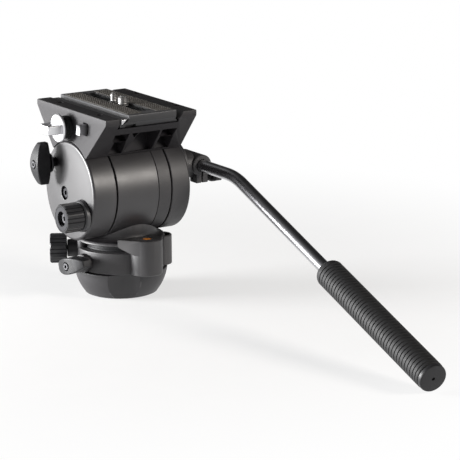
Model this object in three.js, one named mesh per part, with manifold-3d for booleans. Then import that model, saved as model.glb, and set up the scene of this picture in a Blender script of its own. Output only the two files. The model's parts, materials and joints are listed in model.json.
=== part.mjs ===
// A fluid video head: a half ball base, a panning collar and neck, a tilting drum with a
// camera plate on top, and a bent pan bar with a long rubber grip.
// Millimetres, +Z up. The origin is the centre of the half ball's flat underside, +Y is the
// way the lens looks, and the operator stands at -Y with the pan bar on the +X side.
import * as THREE from 'three';
import { mergeVertices } from 'three/addons/utils/BufferGeometryUtils.js';
import Module from 'manifold-3d';

const wasm = await Module();
wasm.setup();

// Clearances and overruns
const seatGap = 0.3;
const turningGap = 0.4;
const cutOverrun = 1;

// Counts of flat sides on round pieces
const drumSides = 36;
const wideSides = 24;
const midSides = 16;
const smallSides = 10;

// Height of the tilt axis above the flat underside
const tiltAxisHeight = 111.3;

// Half ball
const ballRadius = 47.5;
const ballCentreHeight = 31.7;
const ballTopHeight = 27;
const ballEdgeRound = 2.4;
const ballWall = 9;
const ballFloor = 10;
const ballHubRadius = 15;
const scoopCount = 3;
const scoopAngle = -116;
const scoopRadius = 40;
const scoopTopDepth = 4.2;
const scoopBottomRise = 0.3;

// Bolt that ties the half ball to the spindle, its head flush with the underside
const boltRadius = 5;
const boltHeadRadius = 12;
const boltHeadHeight = 7;

// Collar: the cup that turns on the spindle
const collarRadius = 45;
const collarHeight = 22;
const collarBore = 34;
const collarFloor = 4;
const collarChamfer = 1;

// Gap between collar and neck, where the degree ring shows
const windowHeight = 7.2;

// Columns that carry the neck on the collar
const levelColumnRadius = 16.5;
const levelColumnX = 3;
const levelColumnY = -46;
const levelColumnTop = 63.8;
const columnRadius = 12;
const columnReach = 40;
const columnTop = 58.6;
const sideColumnAngle = -30;
const backColumnAngle = 72;
const slimColumnRadius = 5;
const slimColumnAngle = 165;
const columnRecess = 3;
const columnRecessWall = 2.2;
const levelWebTipX = -25;
const levelWebTipY = -37.5;

// Bubble level
const levelCupRadius = 6.6;
const levelCupHeight = 5;
const levelVialRadius = 5;
const levelVialHeight = 2.6;
const levelSetBack = 1.5;

// Spindle, its bearings and what turns against it
const spindleRadius = 9;
const spindleFlange = 20;
const spindleFlangeHeight = 3;
const panBearingRadius = 14;
const panBearingHeight = 5;
const neckHubRadius = 18;
const panRotorRadius = 28;
const panRotorHeight = 13;
const dustRingRadius = 37;
const dustRingWall = 3;

// Neck
const neckRadius = 36;
const neckFlangeThickness = 3.4;
const neckDomeRise = 7;
const neckScrewRadius = 2;
const neckScrewHead = 3.4;
const neckScrewHeadHeight = 2.6;
const neckScrewSink = 4;
const neckScrewBite = 2.6;

// Tilt drum: two end caps that tilt, and a fixed middle
const drumRadius = 50;
const drumLeft = -58;
const drumGrooveLeft = -30.9;
const drumSeam = 16.9;
const drumGrooveRight = 31.9;
const drumRight = 54;
const drumGroove = 1.6;
const drumWall = 7;
const drumWeb = 6;
const drumEdgeRound = 2.5;
const capWall = 5;
const capHubRadius = 16;

// Tilt shaft and what sits on it
const shaftRadius = 8;
const tiltBearingRadius = 14;
const tiltBearingWidth = 5.4;
const rotorRadius = 34;
const rotorLeft = -2;
const rotorWidth = 14;
const statorWall = 4.4;
const springWire = 3;
const springCoilRadius = 22;
const springTurns = 3;
const springStepsPerTurn = 12;
const springPitch = 5.4;
const brakeDiscRadius = 43.5;
const brakeDiscThickness = 3;
const brakeHubRadius = 18;

// Platform under the camera plate
const platformHalfLength = 70.7;
const platformTop = 82.5;
const platformLip = 5.7;
const platformFootHalf = 34;
const platformFootHeight = 38;
const platformLeft = -54.8;
const platformRight = 49.3;
const platformDraft = 2.7;
const platformWallLeft = 19;
const platformWallRight = 15;
const deckThickness = 7.2;
const ribThickness = 2.4;
const ribLeft = -19;
const ribRight = 17;
const pocketCoreHalf = 18.7;
const pocketRimHeight = 2;
const nearBossDrop = 9;

// Channel, plate and jaw
const channelFloor = 71.2;
const channelLeft = -38.8;
const channelRight = 33.4;
const railUndercut = 4.7;
const railNoseHeight = 75;
const plateEndInset = 1.1;
const plateLeft = -27.9;
const plateRight = 26.4;
const plateTop = 84.5;
const plateSide = 3.5;
const plateSkirt = 1.5;
const plateLip = 7;
const plateEndSlant = 5.5;
const plateFootRight = 3.6;
const plateSlotHalf = 3.6;
const plateSlotRecessHalf = 6.6;
const plateSlotRecess = 2.4;
const plateSlotNearInset = 16.6;
const plateSlotFarInset = 13.6;
const plateNotchLeft = -30;
const plateNotchRight = -18;
const plateNotchDepth = 9;
const plateNotchHeight = 3.4;
const padWidth = 18;
const padInset = 1.4;
const padEndInset = 7.1;
const padRecess = 0.9;
const padThickness = 1.7;
const jawClearance = 0.6;
const jawRoom = 1.6;
const jawDrop = 1.2;
const jawHeight = 7.6;
const jawEndInset = 0.7;

// Camera screws
const studX = -0.75;
const smallStudRadius = 3.175;
const smallStudFlange = 5.1;
const smallStudY = 8;
const smallStudTop = 92.2;
const largeStudRadius = 4.76;
const largeStudFlange = 6.2;
const largeStudY = -10.4;
const largeStudTop = 91.6;
const studNeckRadius = 3.2;
const studFlangeThickness = 1.4;
const studTipBevel = 0.7;
const screwSlot = 1.2;
const screwSlotDepth = 1.1;
const studHeadRadius = 6;
const studHeadHeight = 3.4;
const studHeadDepth = 4.5;

// Rail screws
const railScrewLeftX = -45.2;
const railScrewRightX = 43.1;
const railScrewY = 40;
const railScrewRadius = 3.4;
const railScrewDepth = 9;
const railScrewSink = 0.8;
const hexKeyRadius = 1.9;
const hexKeyDepth = 2.2;

// Plate lock on the left side of the platform
const plateLockY = 4.4;
const plateLockHeight = 64.3;
const plateLockBossRadius = 11.5;
const plateLockBossLength = 8.2;
const plateLockDiscRadius = 14.4;
const plateLockDisc = 3.2;
const plateLockBarRoot = 21;
const plateLockBarTip = 16;
const plateLockBarHeight = 9.6;
const plateLockBarLength = 15;
const lockShaftRadius = 3;
const lockShaftReach = 18;

// Release button beside it
const buttonY = -31;
const buttonHeight = 67.5;
const buttonWidth = 7;
const buttonTall = 10.6;
const buttonReach = 9.8;
const buttonSunk = 4.6;
const buttonStemRadius = 2;
const buttonStemLength = 7;
const buttonPocketDepth = 9;
const buttonPocketRim = 1;
const buttonEdge = 1;

// Wing knobs: the tilt lock, the pan lock and the bar clamp
const wingHalfLength = 21.5;
const wingHalfWidth = 8.4;
const wingTipHalf = 3.4;
const wingThickness = 15.5;
const wingTipThickness = 8.5;
const wingDomeSteps = 8;
const wingBevel = 1.5;
const wingHubRadius = 7.4;
const wingHubLength = 3;
const wingRecessRadius = 4.6;
const wingRecessDepth = 2;
const wingScrewRadius = 2.6;
const wingScrewHead = 3.8;
const wingScrewHeadHeight = 2.6;

// Tilt lock
const tiltLockY = 27.3;
const tiltLockZ = 25.1;
const tiltLockStand = 9;
const tiltLockHub = 0.6;
const tiltLockBushRadius = 4.8;
const tiltLockBushWaist = 3.9;
const tiltLockFlangeRadius = 10.2;
const tiltLockFlangeThickness = 2;
const tiltLockBushRings = 4;
const brakeShoeRadius = 5.4;
const brakeGuideWall = 2.2;
const shoeTravelGap = 0.9;
const brakeGuideShare = 0.7;

// Tilt drag knob
const dragY = -29.1;
const dragZ = -19.8;
const dragKnobRadius = 15;
const dragKnobLength = 19;
const dragStand = 5.6;
const dragBaseRadius = 15.8;
const dragSides = 8;
const dragGrooves = 2;
const dragGrooveDepth = 0.7;
const dragDialRadius = 12.2;
const dragDialThickness = 1.4;
const dragDialBore = 7.4;
const dragBoreDepth = 3;
const dragShaftRadius = 3;
const dragShaftReach = 9;
const knobBevel = 1.2;

// Screw beside the middle of the left cap
const capScrewY = 8.1;
const capScrewZ = -3.4;
const capScrewRadius = 6;
const capScrewBore = 7;
const capScrewSink = 3;
const capScrewHead = 5;

// Pan lock and pan drag on the collar
const panLockAngle = 188;
const panLockHeight = 36.8;
const panLockBossRadius = 9.6;
const panLockBossReach = 51;
const panLockKnobReach = 51.3;
const panLockLean = 14;
const panDragAngle = 150;
const panDragHeight = 45.6;
const panDragBossRadius = 9;
const panDragBossReach = 54;
const panDragKnobReach = 54.6;
const panDragKnobLength = 17;
const panDragKnobRadius = 15.5;
const panShoeWidth = 11;
const panShoeHeight = 9;
const panShoeThickness = 4.6;

// Rosette and bar clamp on the right cap
const rosetteY = -14;
const rosetteZ = 14.5;
const rosettePadRadius = 27;
const rosettePad = 3.6;
const rosetteRadius = 15;
const rosetteThickness = 3;
const rosetteScrewRadius = 4;
const clampAxisX = 80;
const clampRadius = 11;
const clampFront = -30;
const clampBack = 8;
const clampBossRadius = 14;
const clampRing = 8;
const clampRingGroove = 1.2;
const clampRingStep = 0.8;
const clampLugDrop = 18;
const clampLugWidth = 7;
const clampLugLength = 13;
const clampLugCentre = -23;
const clampSplit = 1.6;
const clampScrewDrop = 13.1;
const clampKnobStand = 3.2;
const clampKnobShare = 0.66;

// Pan bar and grip
const tubeRadius = 6.3;
const tubeWall = 1.4;
const tubeSides = 16;
const tubeSetBack = 1;
const bendY = -92;
const bendReach = 15;
const bendSteps = 8;
const tubeEndGap = 12;
const gripEndReach = 462;
const gripEndX = 51.5;
const gripRadius = 14;
const gripLength = 196;
const gripSides = 28;
const gripShoulder = 6;
const gripNeckRadius = 9.5;
const gripEndRound = 1.5;
const endCapRadius = 13.6;
const endCapThickness = 4.6;
const endCapHole = 1.6;
const endCapPlugReach = 18;

const degrees = Math.PI / 180;

// Turn a closed three.js geometry into a solid that can be joined and cut
function toSolid(geometry) {
  const bare = geometry.clone();
  bare.deleteAttribute('normal');
  bare.deleteAttribute('uv');
  const merged = mergeVertices(bare);
  const positions = merged.attributes.position.array;
  const faces = Uint32Array.from(merged.index.array);
  if (signedVolume(positions, faces) < 0) faces.reverse();
  return new wasm.Manifold(new wasm.Mesh({ numProp: 3, vertProperties: positions, triVerts: faces }));
}

function signedVolume(positions, faces) {
  const [a, b, c] = [new THREE.Vector3(), new THREE.Vector3(), new THREE.Vector3()];
  let total = 0;
  for (let i = 0; i < faces.length; i += 3) {
    a.fromArray(positions, 3 * faces[i]);
    b.fromArray(positions, 3 * faces[i + 1]);
    c.fromArray(positions, 3 * faces[i + 2]);
    total += a.dot(b.cross(c)) / 6;
  }
  return total;
}

function toGeometry(solid) {
  const { numProp, vertProperties, triVerts } = solid.getMesh();
  const geometry = new THREE.BufferGeometry();
  geometry.setAttribute('position', new THREE.Float32BufferAttribute(vertProperties, numProp));
  geometry.setIndex(Array.from(triVerts));
  return geometry;
}

function join(first, ...others) {
  return toGeometry(others.reduce((solid, next) => solid.add(toSolid(next)), toSolid(first)));
}

function cut(body, ...tools) {
  return toGeometry(tools.reduce((solid, tool) => solid.subtract(toSolid(tool)), toSolid(body)));
}

function common(first, second) {
  return toGeometry(toSolid(first).intersect(toSolid(second)));
}

// Round bars along each axis, given by their radius, their two ends and their centre line
function rodZ(radius, low, high, x = 0, y = 0, sides = midSides) {
  const geometry = new THREE.CylinderGeometry(radius, radius, high - low, sides);
  return geometry.rotateX(Math.PI / 2).translate(x, y, (low + high) / 2);
}

function rodX(radius, low, high, y = 0, z = 0, sides = midSides) {
  const geometry = new THREE.CylinderGeometry(radius, radius, high - low, sides);
  return geometry.rotateZ(-Math.PI / 2).translate((low + high) / 2, y, z);
}

function rodY(radius, low, high, x = 0, z = 0, sides = midSides) {
  const geometry = new THREE.CylinderGeometry(radius, radius, high - low, sides);
  return geometry.translate(x, (low + high) / 2, z);
}

function ringX(outer, inner, low, high, y = 0, z = 0, sides = midSides) {
  const bore = rodX(inner, low - cutOverrun, high + cutOverrun, y, z, sides);
  return cut(rodX(outer, low, high, y, z, sides), bore);
}

function ringZ(outer, inner, low, high, x = 0, y = 0, sides = midSides) {
  const bore = rodZ(inner, low - cutOverrun, high + cutOverrun, x, y, sides);
  return cut(rodZ(outer, low, high, x, y, sides), bore);
}

function block(x0, x1, y0, y1, z0, z1) {
  const geometry = new THREE.BoxGeometry(x1 - x0, y1 - y0, z1 - z0);
  return geometry.translate((x0 + x1) / 2, (y0 + y1) / 2, (z0 + z1) / 2);
}

// A closed profile of (radius, height) points turned about Z, or (radius, x) points about X
function turnedZ(profile, sides = wideSides) {
  return new THREE.LatheGeometry(profile, sides).rotateX(Math.PI / 2);
}

function turnedX(profile, sides = drumSides) {
  return new THREE.LatheGeometry(profile, sides).rotateZ(-Math.PI / 2);
}

function points(...pairs) {
  return pairs.map(([u, v]) => new THREE.Vector2(u, v));
}

// Outlines extruded along X from (y, z) points, and along Y from (x, z) points
function prismX(outline, low, high) {
  const geometry = new THREE.ExtrudeGeometry(new THREE.Shape(outline),
    { depth: high - low, bevelEnabled: false });
  const turn = new THREE.Matrix4().makeBasis(
    new THREE.Vector3(0, 1, 0), new THREE.Vector3(0, 0, 1), new THREE.Vector3(1, 0, 0));
  return geometry.applyMatrix4(turn).translate(low, 0, 0);
}

function prismY(outline, low, high) {
  const geometry = new THREE.ExtrudeGeometry(new THREE.Shape(outline),
    { depth: high - low, bevelEnabled: false });
  return geometry.rotateX(Math.PI / 2).translate(0, high, 0);
}

// An outline in the (y, z) plane pushed out along -X with a softened edge
function knobPrism(shape, thickness, bevel) {
  const geometry = new THREE.ExtrudeGeometry(shape, {
    depth: thickness - 2 * bevel, bevelEnabled: true, bevelSegments: 1,
    bevelSize: bevel, bevelThickness: bevel, bevelOffset: -bevel, curveSegments: 6,
  });
  return geometry.translate(0, 0, bevel).rotateY(-Math.PI / 2);
}

const head = new THREE.Group();

// One named mesh with its own material, added to a group
function piece(group, name, geometry, finish) {
  const flat = toGeometry(toSolid(geometry));
  flat.computeVertexNormals();
  const mesh = new THREE.Mesh(flat, new THREE.MeshStandardMaterial(finish));
  mesh.name = name;
  group.add(mesh);
  return mesh;
}

// Finishes
const blackPaint = { color: 0x2a2a2d, roughness: 0.55, metalness: 0.3 };
const darkAnodised = { color: 0x222225, roughness: 0.45, metalness: 0.5 };
const blackPlastic = { color: 0x1b1b1d, roughness: 0.6, metalness: 0 };
const rubberBlack = { color: 0x171718, roughness: 0.85, metalness: 0 };
const glossTube = { color: 0x131315, roughness: 0.18, metalness: 0.4 };
const silverMetal = { color: 0xc9c9cc, roughness: 0.3, metalness: 1 };
const bareAluminium = { color: 0xb4b4b6, roughness: 0.4, metalness: 1 };
const steel = { color: 0x8d8f93, roughness: 0.35, metalness: 1 };
const blackSteel = { color: 0x2c2c2e, roughness: 0.4, metalness: 0.9 };
const brassMetal = { color: 0xb08a45, roughness: 0.35, metalness: 1 };
const clearGlass = { color: 0xdfe8c8, roughness: 0.05, metalness: 0, transparent: true, opacity: 0.4 };

// Base: the half ball, its bolt, and the spindle that the head turns on
const base = new THREE.Group();
head.add(base);

const collarLow = ballTopHeight + seatGap;
const collarTop = collarLow + collarHeight;
const flangeLow = collarTop + windowHeight;

function ballSphereRadiusAt(height) {
  return Math.sqrt(ballRadius ** 2 - (ballCentreHeight - height) ** 2);
}

function ballProfile() {
  const innerRadius = ballRadius - ballWall;
  const flatRadius = ballSphereRadiusAt(0);
  const lowAngle = Math.asin((ballEdgeRound - ballCentreHeight) / ballRadius);
  const highAngle = Math.asin((ballTopHeight - ballCentreHeight) / ballRadius);
  const outline = new THREE.Path();
  outline.moveTo(0, 0);
  outline.lineTo(flatRadius - ballEdgeRound, 0);
  outline.quadraticCurveTo(flatRadius, 0, ballSphereRadiusAt(ballEdgeRound), ballEdgeRound);
  outline.absarc(0, ballCentreHeight, ballRadius, lowAngle, highAngle, false);
  const insideTop = Math.asin((ballTopHeight - ballCentreHeight) / innerRadius);
  const insideLow = Math.asin((ballFloor - ballCentreHeight) / innerRadius);
  outline.absarc(0, ballCentreHeight, innerRadius, insideTop, insideLow, true);
  outline.lineTo(ballHubRadius, ballFloor);
  outline.lineTo(ballHubRadius, ballTopHeight);
  outline.lineTo(0, ballTopHeight);
  return outline.getPoints(2);
}

// A shallow scoop: a wide round bar lying against the ball, leaning in towards its foot
function ballScoop(angle) {
  const topR = ballSphereRadiusAt(ballTopHeight) - scoopTopDepth + scoopRadius;
  const lowR = ballSphereRadiusAt(0) + scoopBottomRise + scoopRadius;
  const lean = Math.atan2(topR - lowR, ballTopHeight);
  const length = 2 * ballTopHeight;
  const bar = new THREE.CylinderGeometry(scoopRadius, scoopRadius, length,
    drumSides).rotateX(Math.PI / 2);
  bar.rotateY(lean).translate((topR + lowR) / 2, 0, ballTopHeight / 2);
  return bar.rotateZ(angle * degrees);
}

function halfBall() {
  const scoops = Array.from({ length: scoopCount },
    (_, i) => ballScoop(scoopAngle + (360 * i) / scoopCount));
  const boltHole = rodZ(boltRadius + seatGap, -cutOverrun, ballTopHeight + cutOverrun);
  const headHole = rodZ(boltHeadRadius + seatGap, -cutOverrun, boltHeadHeight + seatGap);
  return cut(turnedZ(ballProfile(), drumSides), boltHole, headHole, ...scoops);
}

const spindleLow = collarLow;
const spindleBoreTop = spindleLow + collarFloor + panRotorHeight;

function ballBolt() {
  const top = spindleBoreTop - seatGap;
  return join(rodZ(boltHeadRadius, 0, boltHeadHeight), rodZ(boltRadius, boltHeadHeight - seatGap, top));
}

const neckHubLow = collarLow + collarFloor + seatGap + spindleFlangeHeight + turningGap;
const spindleTop = flangeLow + neckFlangeThickness;

function panSpindle() {
  const flangeFoot = spindleLow + collarFloor + seatGap;
  const flangeHead = flangeFoot + spindleFlangeHeight;
  const post = join(
    rodZ(spindleFlange, spindleLow, flangeHead),
    rodZ(panRotorRadius, flangeFoot, flangeHead, 0, 0, wideSides),
    ringZ(panRotorRadius, neckHubRadius + turningGap, flangeFoot, flangeHead + panRotorHeight, 0, 0,
      wideSides),
    rodZ(spindleRadius, spindleLow, spindleTop));
  return cut(post, rodZ(boltRadius + seatGap, spindleLow - cutOverrun, spindleBoreTop));
}

piece(base, 'half_ball', halfBall(), blackPaint);
piece(base, 'ball_bolt', ballBolt(), steel);
piece(base, 'pan_spindle', panSpindle(), steel);

const bearingBore = spindleRadius + seatGap;
const lowerBearing = [neckHubLow + seatGap, neckHubLow + seatGap + panBearingHeight];
const upperBearing = [flangeLow - panBearingHeight, flangeLow];
piece(base, 'pan_bearing_lower', ringZ(panBearingRadius, bearingBore, ...lowerBearing), steel);
piece(base, 'pan_bearing_upper', ringZ(panBearingRadius, bearingBore, ...upperBearing), steel);

// Panning body: collar, neck and the fixed middle of the drum
const panHead = new THREE.Group();
head.add(panHead);

function radialRod(radius, from, to, angle, height, sides = midSides) {
  return rodX(radius, from, to, 0, height, sides).rotateZ(angle * degrees);
}

function onCircle(reach, angle) {
  return [reach * Math.cos(angle * degrees), reach * Math.sin(angle * degrees)];
}

const stoutColumns = [sideColumnAngle, backColumnAngle].map((angle) => onCircle(columnReach, angle));
const screwPlaces = [sideColumnAngle, backColumnAngle, slimColumnAngle].map(
  (angle) => onCircle((dustRingRadius + collarRadius) / 2, angle));

const shoeOuter = collarBore - seatGap;
const shoeInner = shoeOuter - panShoeThickness;

function collarHousing() {
  const c = collarChamfer;
  const cup = turnedZ(points(
    [0, collarLow], [collarRadius - c, collarLow], [collarRadius, collarLow + c],
      [collarRadius, collarTop - c],
    [collarRadius - c, collarTop], [collarBore, collarTop], [collarBore, collarLow + collarFloor],
    [0, collarLow + collarFloor]), drumSides);
  const bosses = [
    rodZ(levelColumnRadius, collarLow, levelColumnTop, levelColumnX, levelColumnY, wideSides),
    ...stoutColumns.map(([x, y]) => rodZ(columnRadius, collarLow, columnTop, x, y)),
    rodZ(slimColumnRadius, collarLow, flangeLow,
      ...onCircle(collarRadius - slimColumnRadius, slimColumnAngle)),
    radialRod(panLockBossRadius, collarBore, panLockBossReach, panLockAngle, panLockHeight),
    radialRod(panDragBossRadius, collarBore, panDragBossReach, panDragAngle, panDragHeight),
    levelWeb(),
  ];
  const inside = rodZ(collarBore, collarLow + collarFloor, levelColumnTop + cutOverrun, 0, 0, drumSides);
  const ringRoom = rodZ(
    dustRingRadius + seatGap, collarTop, levelColumnTop + cutOverrun, 0, 0, drumSides);
  const flangeRoom = cut(
    rodZ(collarRadius + seatGap, flangeLow - seatGap, levelColumnTop + cutOverrun, 0, 0, drumSides),
    levelPlan(0));
  const openings = [
    inside,
    ringRoom,
    flangeRoom,
    rodZ(spindleFlange + turningGap, collarLow - cutOverrun, collarLow + collarFloor + cutOverrun, 0, 0,
      wideSides),
    levelSeat(),
    ...stoutColumns.map(([x, y]) =>
      rodZ(columnRadius - columnRecessWall, columnTop - columnRecess, columnTop + cutOverrun, x, y)),
    radialRod(lockShaftRadius + seatGap, shoeInner, panLockBossReach + cutOverrun, panLockAngle,
      panLockHeight, smallSides),
    radialRod(dragShaftRadius + seatGap, shoeInner, panDragBossReach + cutOverrun, panDragAngle,
      panDragHeight, smallSides),
    ...screwPlaces.map(([x, y]) =>
      rodZ(neckScrewRadius + seatGap, collarLow - cutOverrun, flangeLow + cutOverrun, x, y, smallSides)),
    ...screwPlaces.map(([x, y]) =>
      rodZ(neckScrewHead + seatGap, collarLow - cutOverrun, collarLow + neckScrewSink, x, y, smallSides)),
  ];
  return cut(join(cup, ...bosses), ...openings);
}

// Plan of the level's column with its pointed web, grown by a clearance, from the window up
function levelPlan(grown) {
  const low = flangeLow - windowHeight;
  const high = levelColumnTop + cutOverrun;
  const [dx, dy] = [levelWebTipX - levelColumnX, levelWebTipY - levelColumnY];
  const radius = levelColumnRadius + grown;
  const touch = Math.atan2(dy, dx) + Math.acos(radius / Math.hypot(dx, dy));
  const web = new THREE.ExtrudeGeometry(new THREE.Shape(points(
    [levelWebTipX - grown, levelWebTipY], [levelColumnX, levelWebTipY], [levelColumnX, levelColumnY],
    [levelColumnX + radius * Math.cos(touch), levelColumnY + radius * Math.sin(touch)])),
  { depth: high - low, bevelEnabled: false }).translate(0, 0, low);
  return join(rodZ(radius, low, high, levelColumnX, levelColumnY, wideSides), web);
}

// The web leans in under its tip, from the neck's flange down to the collar
function levelWeb() {
  const foot = levelColumnX - levelColumnRadius;
  const keep = prismY(points(
    [levelWebTipX, levelColumnTop], [levelWebTipX, flangeLow], [foot, collarTop - seatGap],
    [levelColumnX, collarTop - seatGap], [levelColumnX, levelColumnTop]),
  levelColumnY - levelColumnRadius, 0);
  return common(levelPlan(0), keep);
}

function levelSeat() {
  const y = levelColumnY - levelSetBack;
  return rodZ(
    levelCupRadius + seatGap, levelColumnTop - levelCupHeight, levelColumnTop + cutOverrun, levelColumnX,
      y);
}

piece(panHead, 'collar_housing', collarHousing(), blackPaint);

const levelY = levelColumnY - levelSetBack;
const levelBottom = levelColumnTop - levelCupHeight + seatGap;
const vialBottom = levelColumnTop - levelVialHeight;
piece(panHead, 'level_cup', cut(
  rodZ(levelCupRadius, levelBottom, levelColumnTop, levelColumnX, levelY),
  rodZ(levelVialRadius + seatGap, vialBottom, levelColumnTop + cutOverrun, levelColumnX, levelY)),
    bareAluminium);
piece(panHead, 'level_vial', rodZ(
  levelVialRadius, vialBottom + seatGap, levelColumnTop, levelColumnX, levelY), clearGlass);

piece(panHead, 'pan_dust_ring', ringZ(
  dustRingRadius, dustRingRadius - dustRingWall, collarTop + seatGap, flangeLow - seatGap, 0, 0,
    wideSides),
  blackPlastic);

// Neck: a flange on the columns, a dome up to the drum and a hub down over the spindle

function neckCasting() {
  const flangeTop = flangeLow + neckFlangeThickness;
  const top = tiltAxisHeight - drumRadius / 2;
  const outline = new THREE.Path();
  outline.moveTo(0, neckHubLow);
  outline.lineTo(neckHubRadius, neckHubLow);
  outline.lineTo(neckHubRadius, flangeLow);
  outline.lineTo(collarRadius, flangeLow);
  outline.lineTo(collarRadius, flangeLow + neckFlangeThickness / 2);
  outline.lineTo(collarRadius - neckFlangeThickness / 2, flangeTop);
  outline.quadraticCurveTo(neckRadius, flangeTop, neckRadius, flangeTop + neckDomeRise);
  outline.lineTo(neckRadius, top);
  outline.lineTo(0, top);
  const body = turnedZ(outline.getPoints(3), drumSides);
  const drumRoom = rodX(
    drumRadius + seatGap, drumLeft - cutOverrun, drumRight + cutOverrun, 0, tiltAxisHeight, drumSides);
  const bearingRoom = panBearingRadius + seatGap;
  return cut(body, drumRoom,
    rodZ(spindleRadius + turningGap, neckHubLow - cutOverrun, spindleTop + turningGap),
    rodZ(bearingRoom, neckHubLow - cutOverrun, lowerBearing[1] + seatGap),
    rodZ(bearingRoom, upperBearing[0] - seatGap, upperBearing[1] + seatGap),
    ...screwPlaces.map(([x, y]) =>
      rodZ(neckScrewRadius + seatGap, flangeLow - cutOverrun, flangeLow + neckScrewBite + seatGap, x, y,
        smallSides)),
    cut(levelPlan(seatGap), rodZ(dustRingRadius, collarLow, tiltAxisHeight, 0, 0, drumSides)));
}

piece(panHead, 'neck_casting', neckCasting(), blackPaint);

function hexKey(depth, top, x, y) {
  return rodZ(hexKeyRadius, top - depth, top + cutOverrun, x, y, 6);
}

screwPlaces.forEach(([x, y], i) => {
  const under = collarLow + neckScrewSink - seatGap;
  const face = under - neckScrewHeadHeight;
  const screw = join(
    rodZ(neckScrewHead, face, under, x, y, smallSides),
    rodZ(neckScrewRadius, under - seatGap, flangeLow + neckScrewBite, x, y, smallSides));
  const socket = rodZ(hexKeyRadius, face - cutOverrun, face + hexKeyDepth, x, y, 6);
  piece(panHead, `neck_screw_${i + 1}`, cut(screw, socket), blackSteel);
});

function panShoe(angle, height) {
  const shoe = block(shoeInner, shoeOuter, -panShoeWidth / 2, panShoeWidth / 2,
    height - panShoeHeight / 2, height + panShoeHeight / 2);
  const inside = rodZ(panRotorRadius + shoeTravelGap, height - panShoeHeight, height + panShoeHeight, 0,
    0, wideSides);
  const outside = rodZ(shoeOuter, height - panShoeHeight, height + panShoeHeight, 0, 0, wideSides);
  return cut(common(shoe, outside), inside).rotateZ(angle * degrees);
}
piece(panHead, 'pan_brake_shoe', panShoe(panLockAngle, panLockHeight), brassMetal);
piece(panHead, 'pan_drag_shoe', panShoe(panDragAngle, panDragHeight), brassMetal);

// Everything from here is placed about the tilt axis
const drum = new THREE.Group();
drum.position.z = tiltAxisHeight;
panHead.add(drum);

const middleLeft = drumGrooveLeft + drumGroove / 2;
const middleRight = drumGrooveRight - drumGroove / 2;
const boreRadius = drumRadius - drumWall;

function drumMiddle() {
  const cup = turnedX(points(
    [0, middleLeft], [drumRadius, middleLeft], [drumRadius, drumSeam - seatGap / 2],
      [boreRadius, drumSeam - seatGap / 2],
    [boreRadius, middleLeft + drumWeb], [0, middleLeft + drumWeb]));
  return cut(cup, rodX(tiltBearingRadius + seatGap, middleLeft - cutOverrun,
    middleLeft + drumWeb + cutOverrun));
}

function drumCover() {
  const low = drumSeam + seatGap / 2;
  const cover = turnedX(points(
    [0, middleRight - drumWeb], [boreRadius, middleRight - drumWeb], [boreRadius, low], [drumRadius, low],
    [drumRadius, middleRight], [0, middleRight]));
  return cut(cover, rodX(tiltBearingRadius + seatGap, low, middleRight + cutOverrun));
}

piece(drum, 'drum_middle', drumMiddle(), blackPaint);
piece(drum, 'drum_cover_ring', drumCover(), blackPaint);

const tiltBearingBore = shaftRadius + seatGap;
piece(drum, 'tilt_bearing_left', ringX(
  tiltBearingRadius, tiltBearingBore, middleLeft, middleLeft + tiltBearingWidth), steel);
piece(drum, 'tilt_bearing_right', ringX(
  tiltBearingRadius, tiltBearingBore, middleRight - tiltBearingWidth, middleRight), steel);

const statorLeft = rotorLeft - turningGap - statorWall;
const statorRight = rotorLeft + rotorWidth + turningGap;
piece(drum, 'fluid_stator', cut(
  rodX(boreRadius - seatGap, statorLeft, statorRight, 0, 0, drumSides),
  rodX(rotorRadius + turningGap, rotorLeft - turningGap, statorRight + cutOverrun, 0, 0, wideSides),
  rodX(shaftRadius + turningGap, statorLeft - cutOverrun, statorRight)), darkAnodised);

// Counterbalance spring: one unbroken coil round the shaft, ending beside the stator
class Helix extends THREE.Curve {
  constructor(radius, pitch, turns, left) {
    super();
    Object.assign(this, { radius, pitch, turns, left });
  }

  getPoint(t) {
    const angle = t * this.turns * 2 * Math.PI;
    return new THREE.Vector3(
      this.left + t * this.turns * this.pitch, this.radius * Math.cos(angle),
        this.radius * Math.sin(angle));
  }
}

function wireSection(radius, sides) {
  return new THREE.Shape(Array.from({ length: sides }, (_, i) => new THREE.Vector2(
    radius * Math.cos((2 * Math.PI * i) / sides), radius * Math.sin((2 * Math.PI * i) / sides))));
}

function counterSpring() {
  const left = middleLeft + drumWeb + springWire / 2 + seatGap;
  const room = statorLeft - seatGap - springWire / 2 - left;
  const path = new Helix(springCoilRadius, Math.min(springPitch, room / springTurns), springTurns, left);
  return new THREE.ExtrudeGeometry(wireSection(springWire / 2, 6), {
    steps: springTurns * springStepsPerTurn, extrudePath: path, bevelEnabled: false,
  });
}
piece(drum, 'counterbalance_spring', counterSpring(), steel);

piece(drum, 'tilt_brake_disc', ringX(
  brakeDiscRadius, brakeHubRadius, middleLeft - seatGap - brakeDiscThickness, middleLeft - seatGap, 0, 0,
    wideSides), steel);

// Tilting body: end caps, shaft, platform
const tilt = new THREE.Group();
tilt.position.z = tiltAxisHeight;
head.add(tilt);

const capLeftInner = drumGrooveLeft - drumGroove / 2;
const capRightInner = drumGrooveRight + drumGroove / 2;

function capProfile(face, inner) {
  const way = Math.sign(inner - face);
  const e = drumEdgeRound;
  const outline = new THREE.Path();
  outline.moveTo(0, face);
  outline.lineTo(drumRadius - e, face);
  outline.quadraticCurveTo(drumRadius, face, drumRadius, face + way * e);
  outline.lineTo(drumRadius, inner);
  outline.lineTo(drumRadius - capWall, inner);
  outline.lineTo(drumRadius - capWall, face + way * capWall);
  outline.lineTo(capHubRadius, face + way * capWall);
  outline.lineTo(capHubRadius, inner - way * (brakeDiscThickness + drumGroove));
  outline.lineTo(0, inner - way * (brakeDiscThickness + drumGroove));
  return outline.getPoints(2);
}

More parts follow.
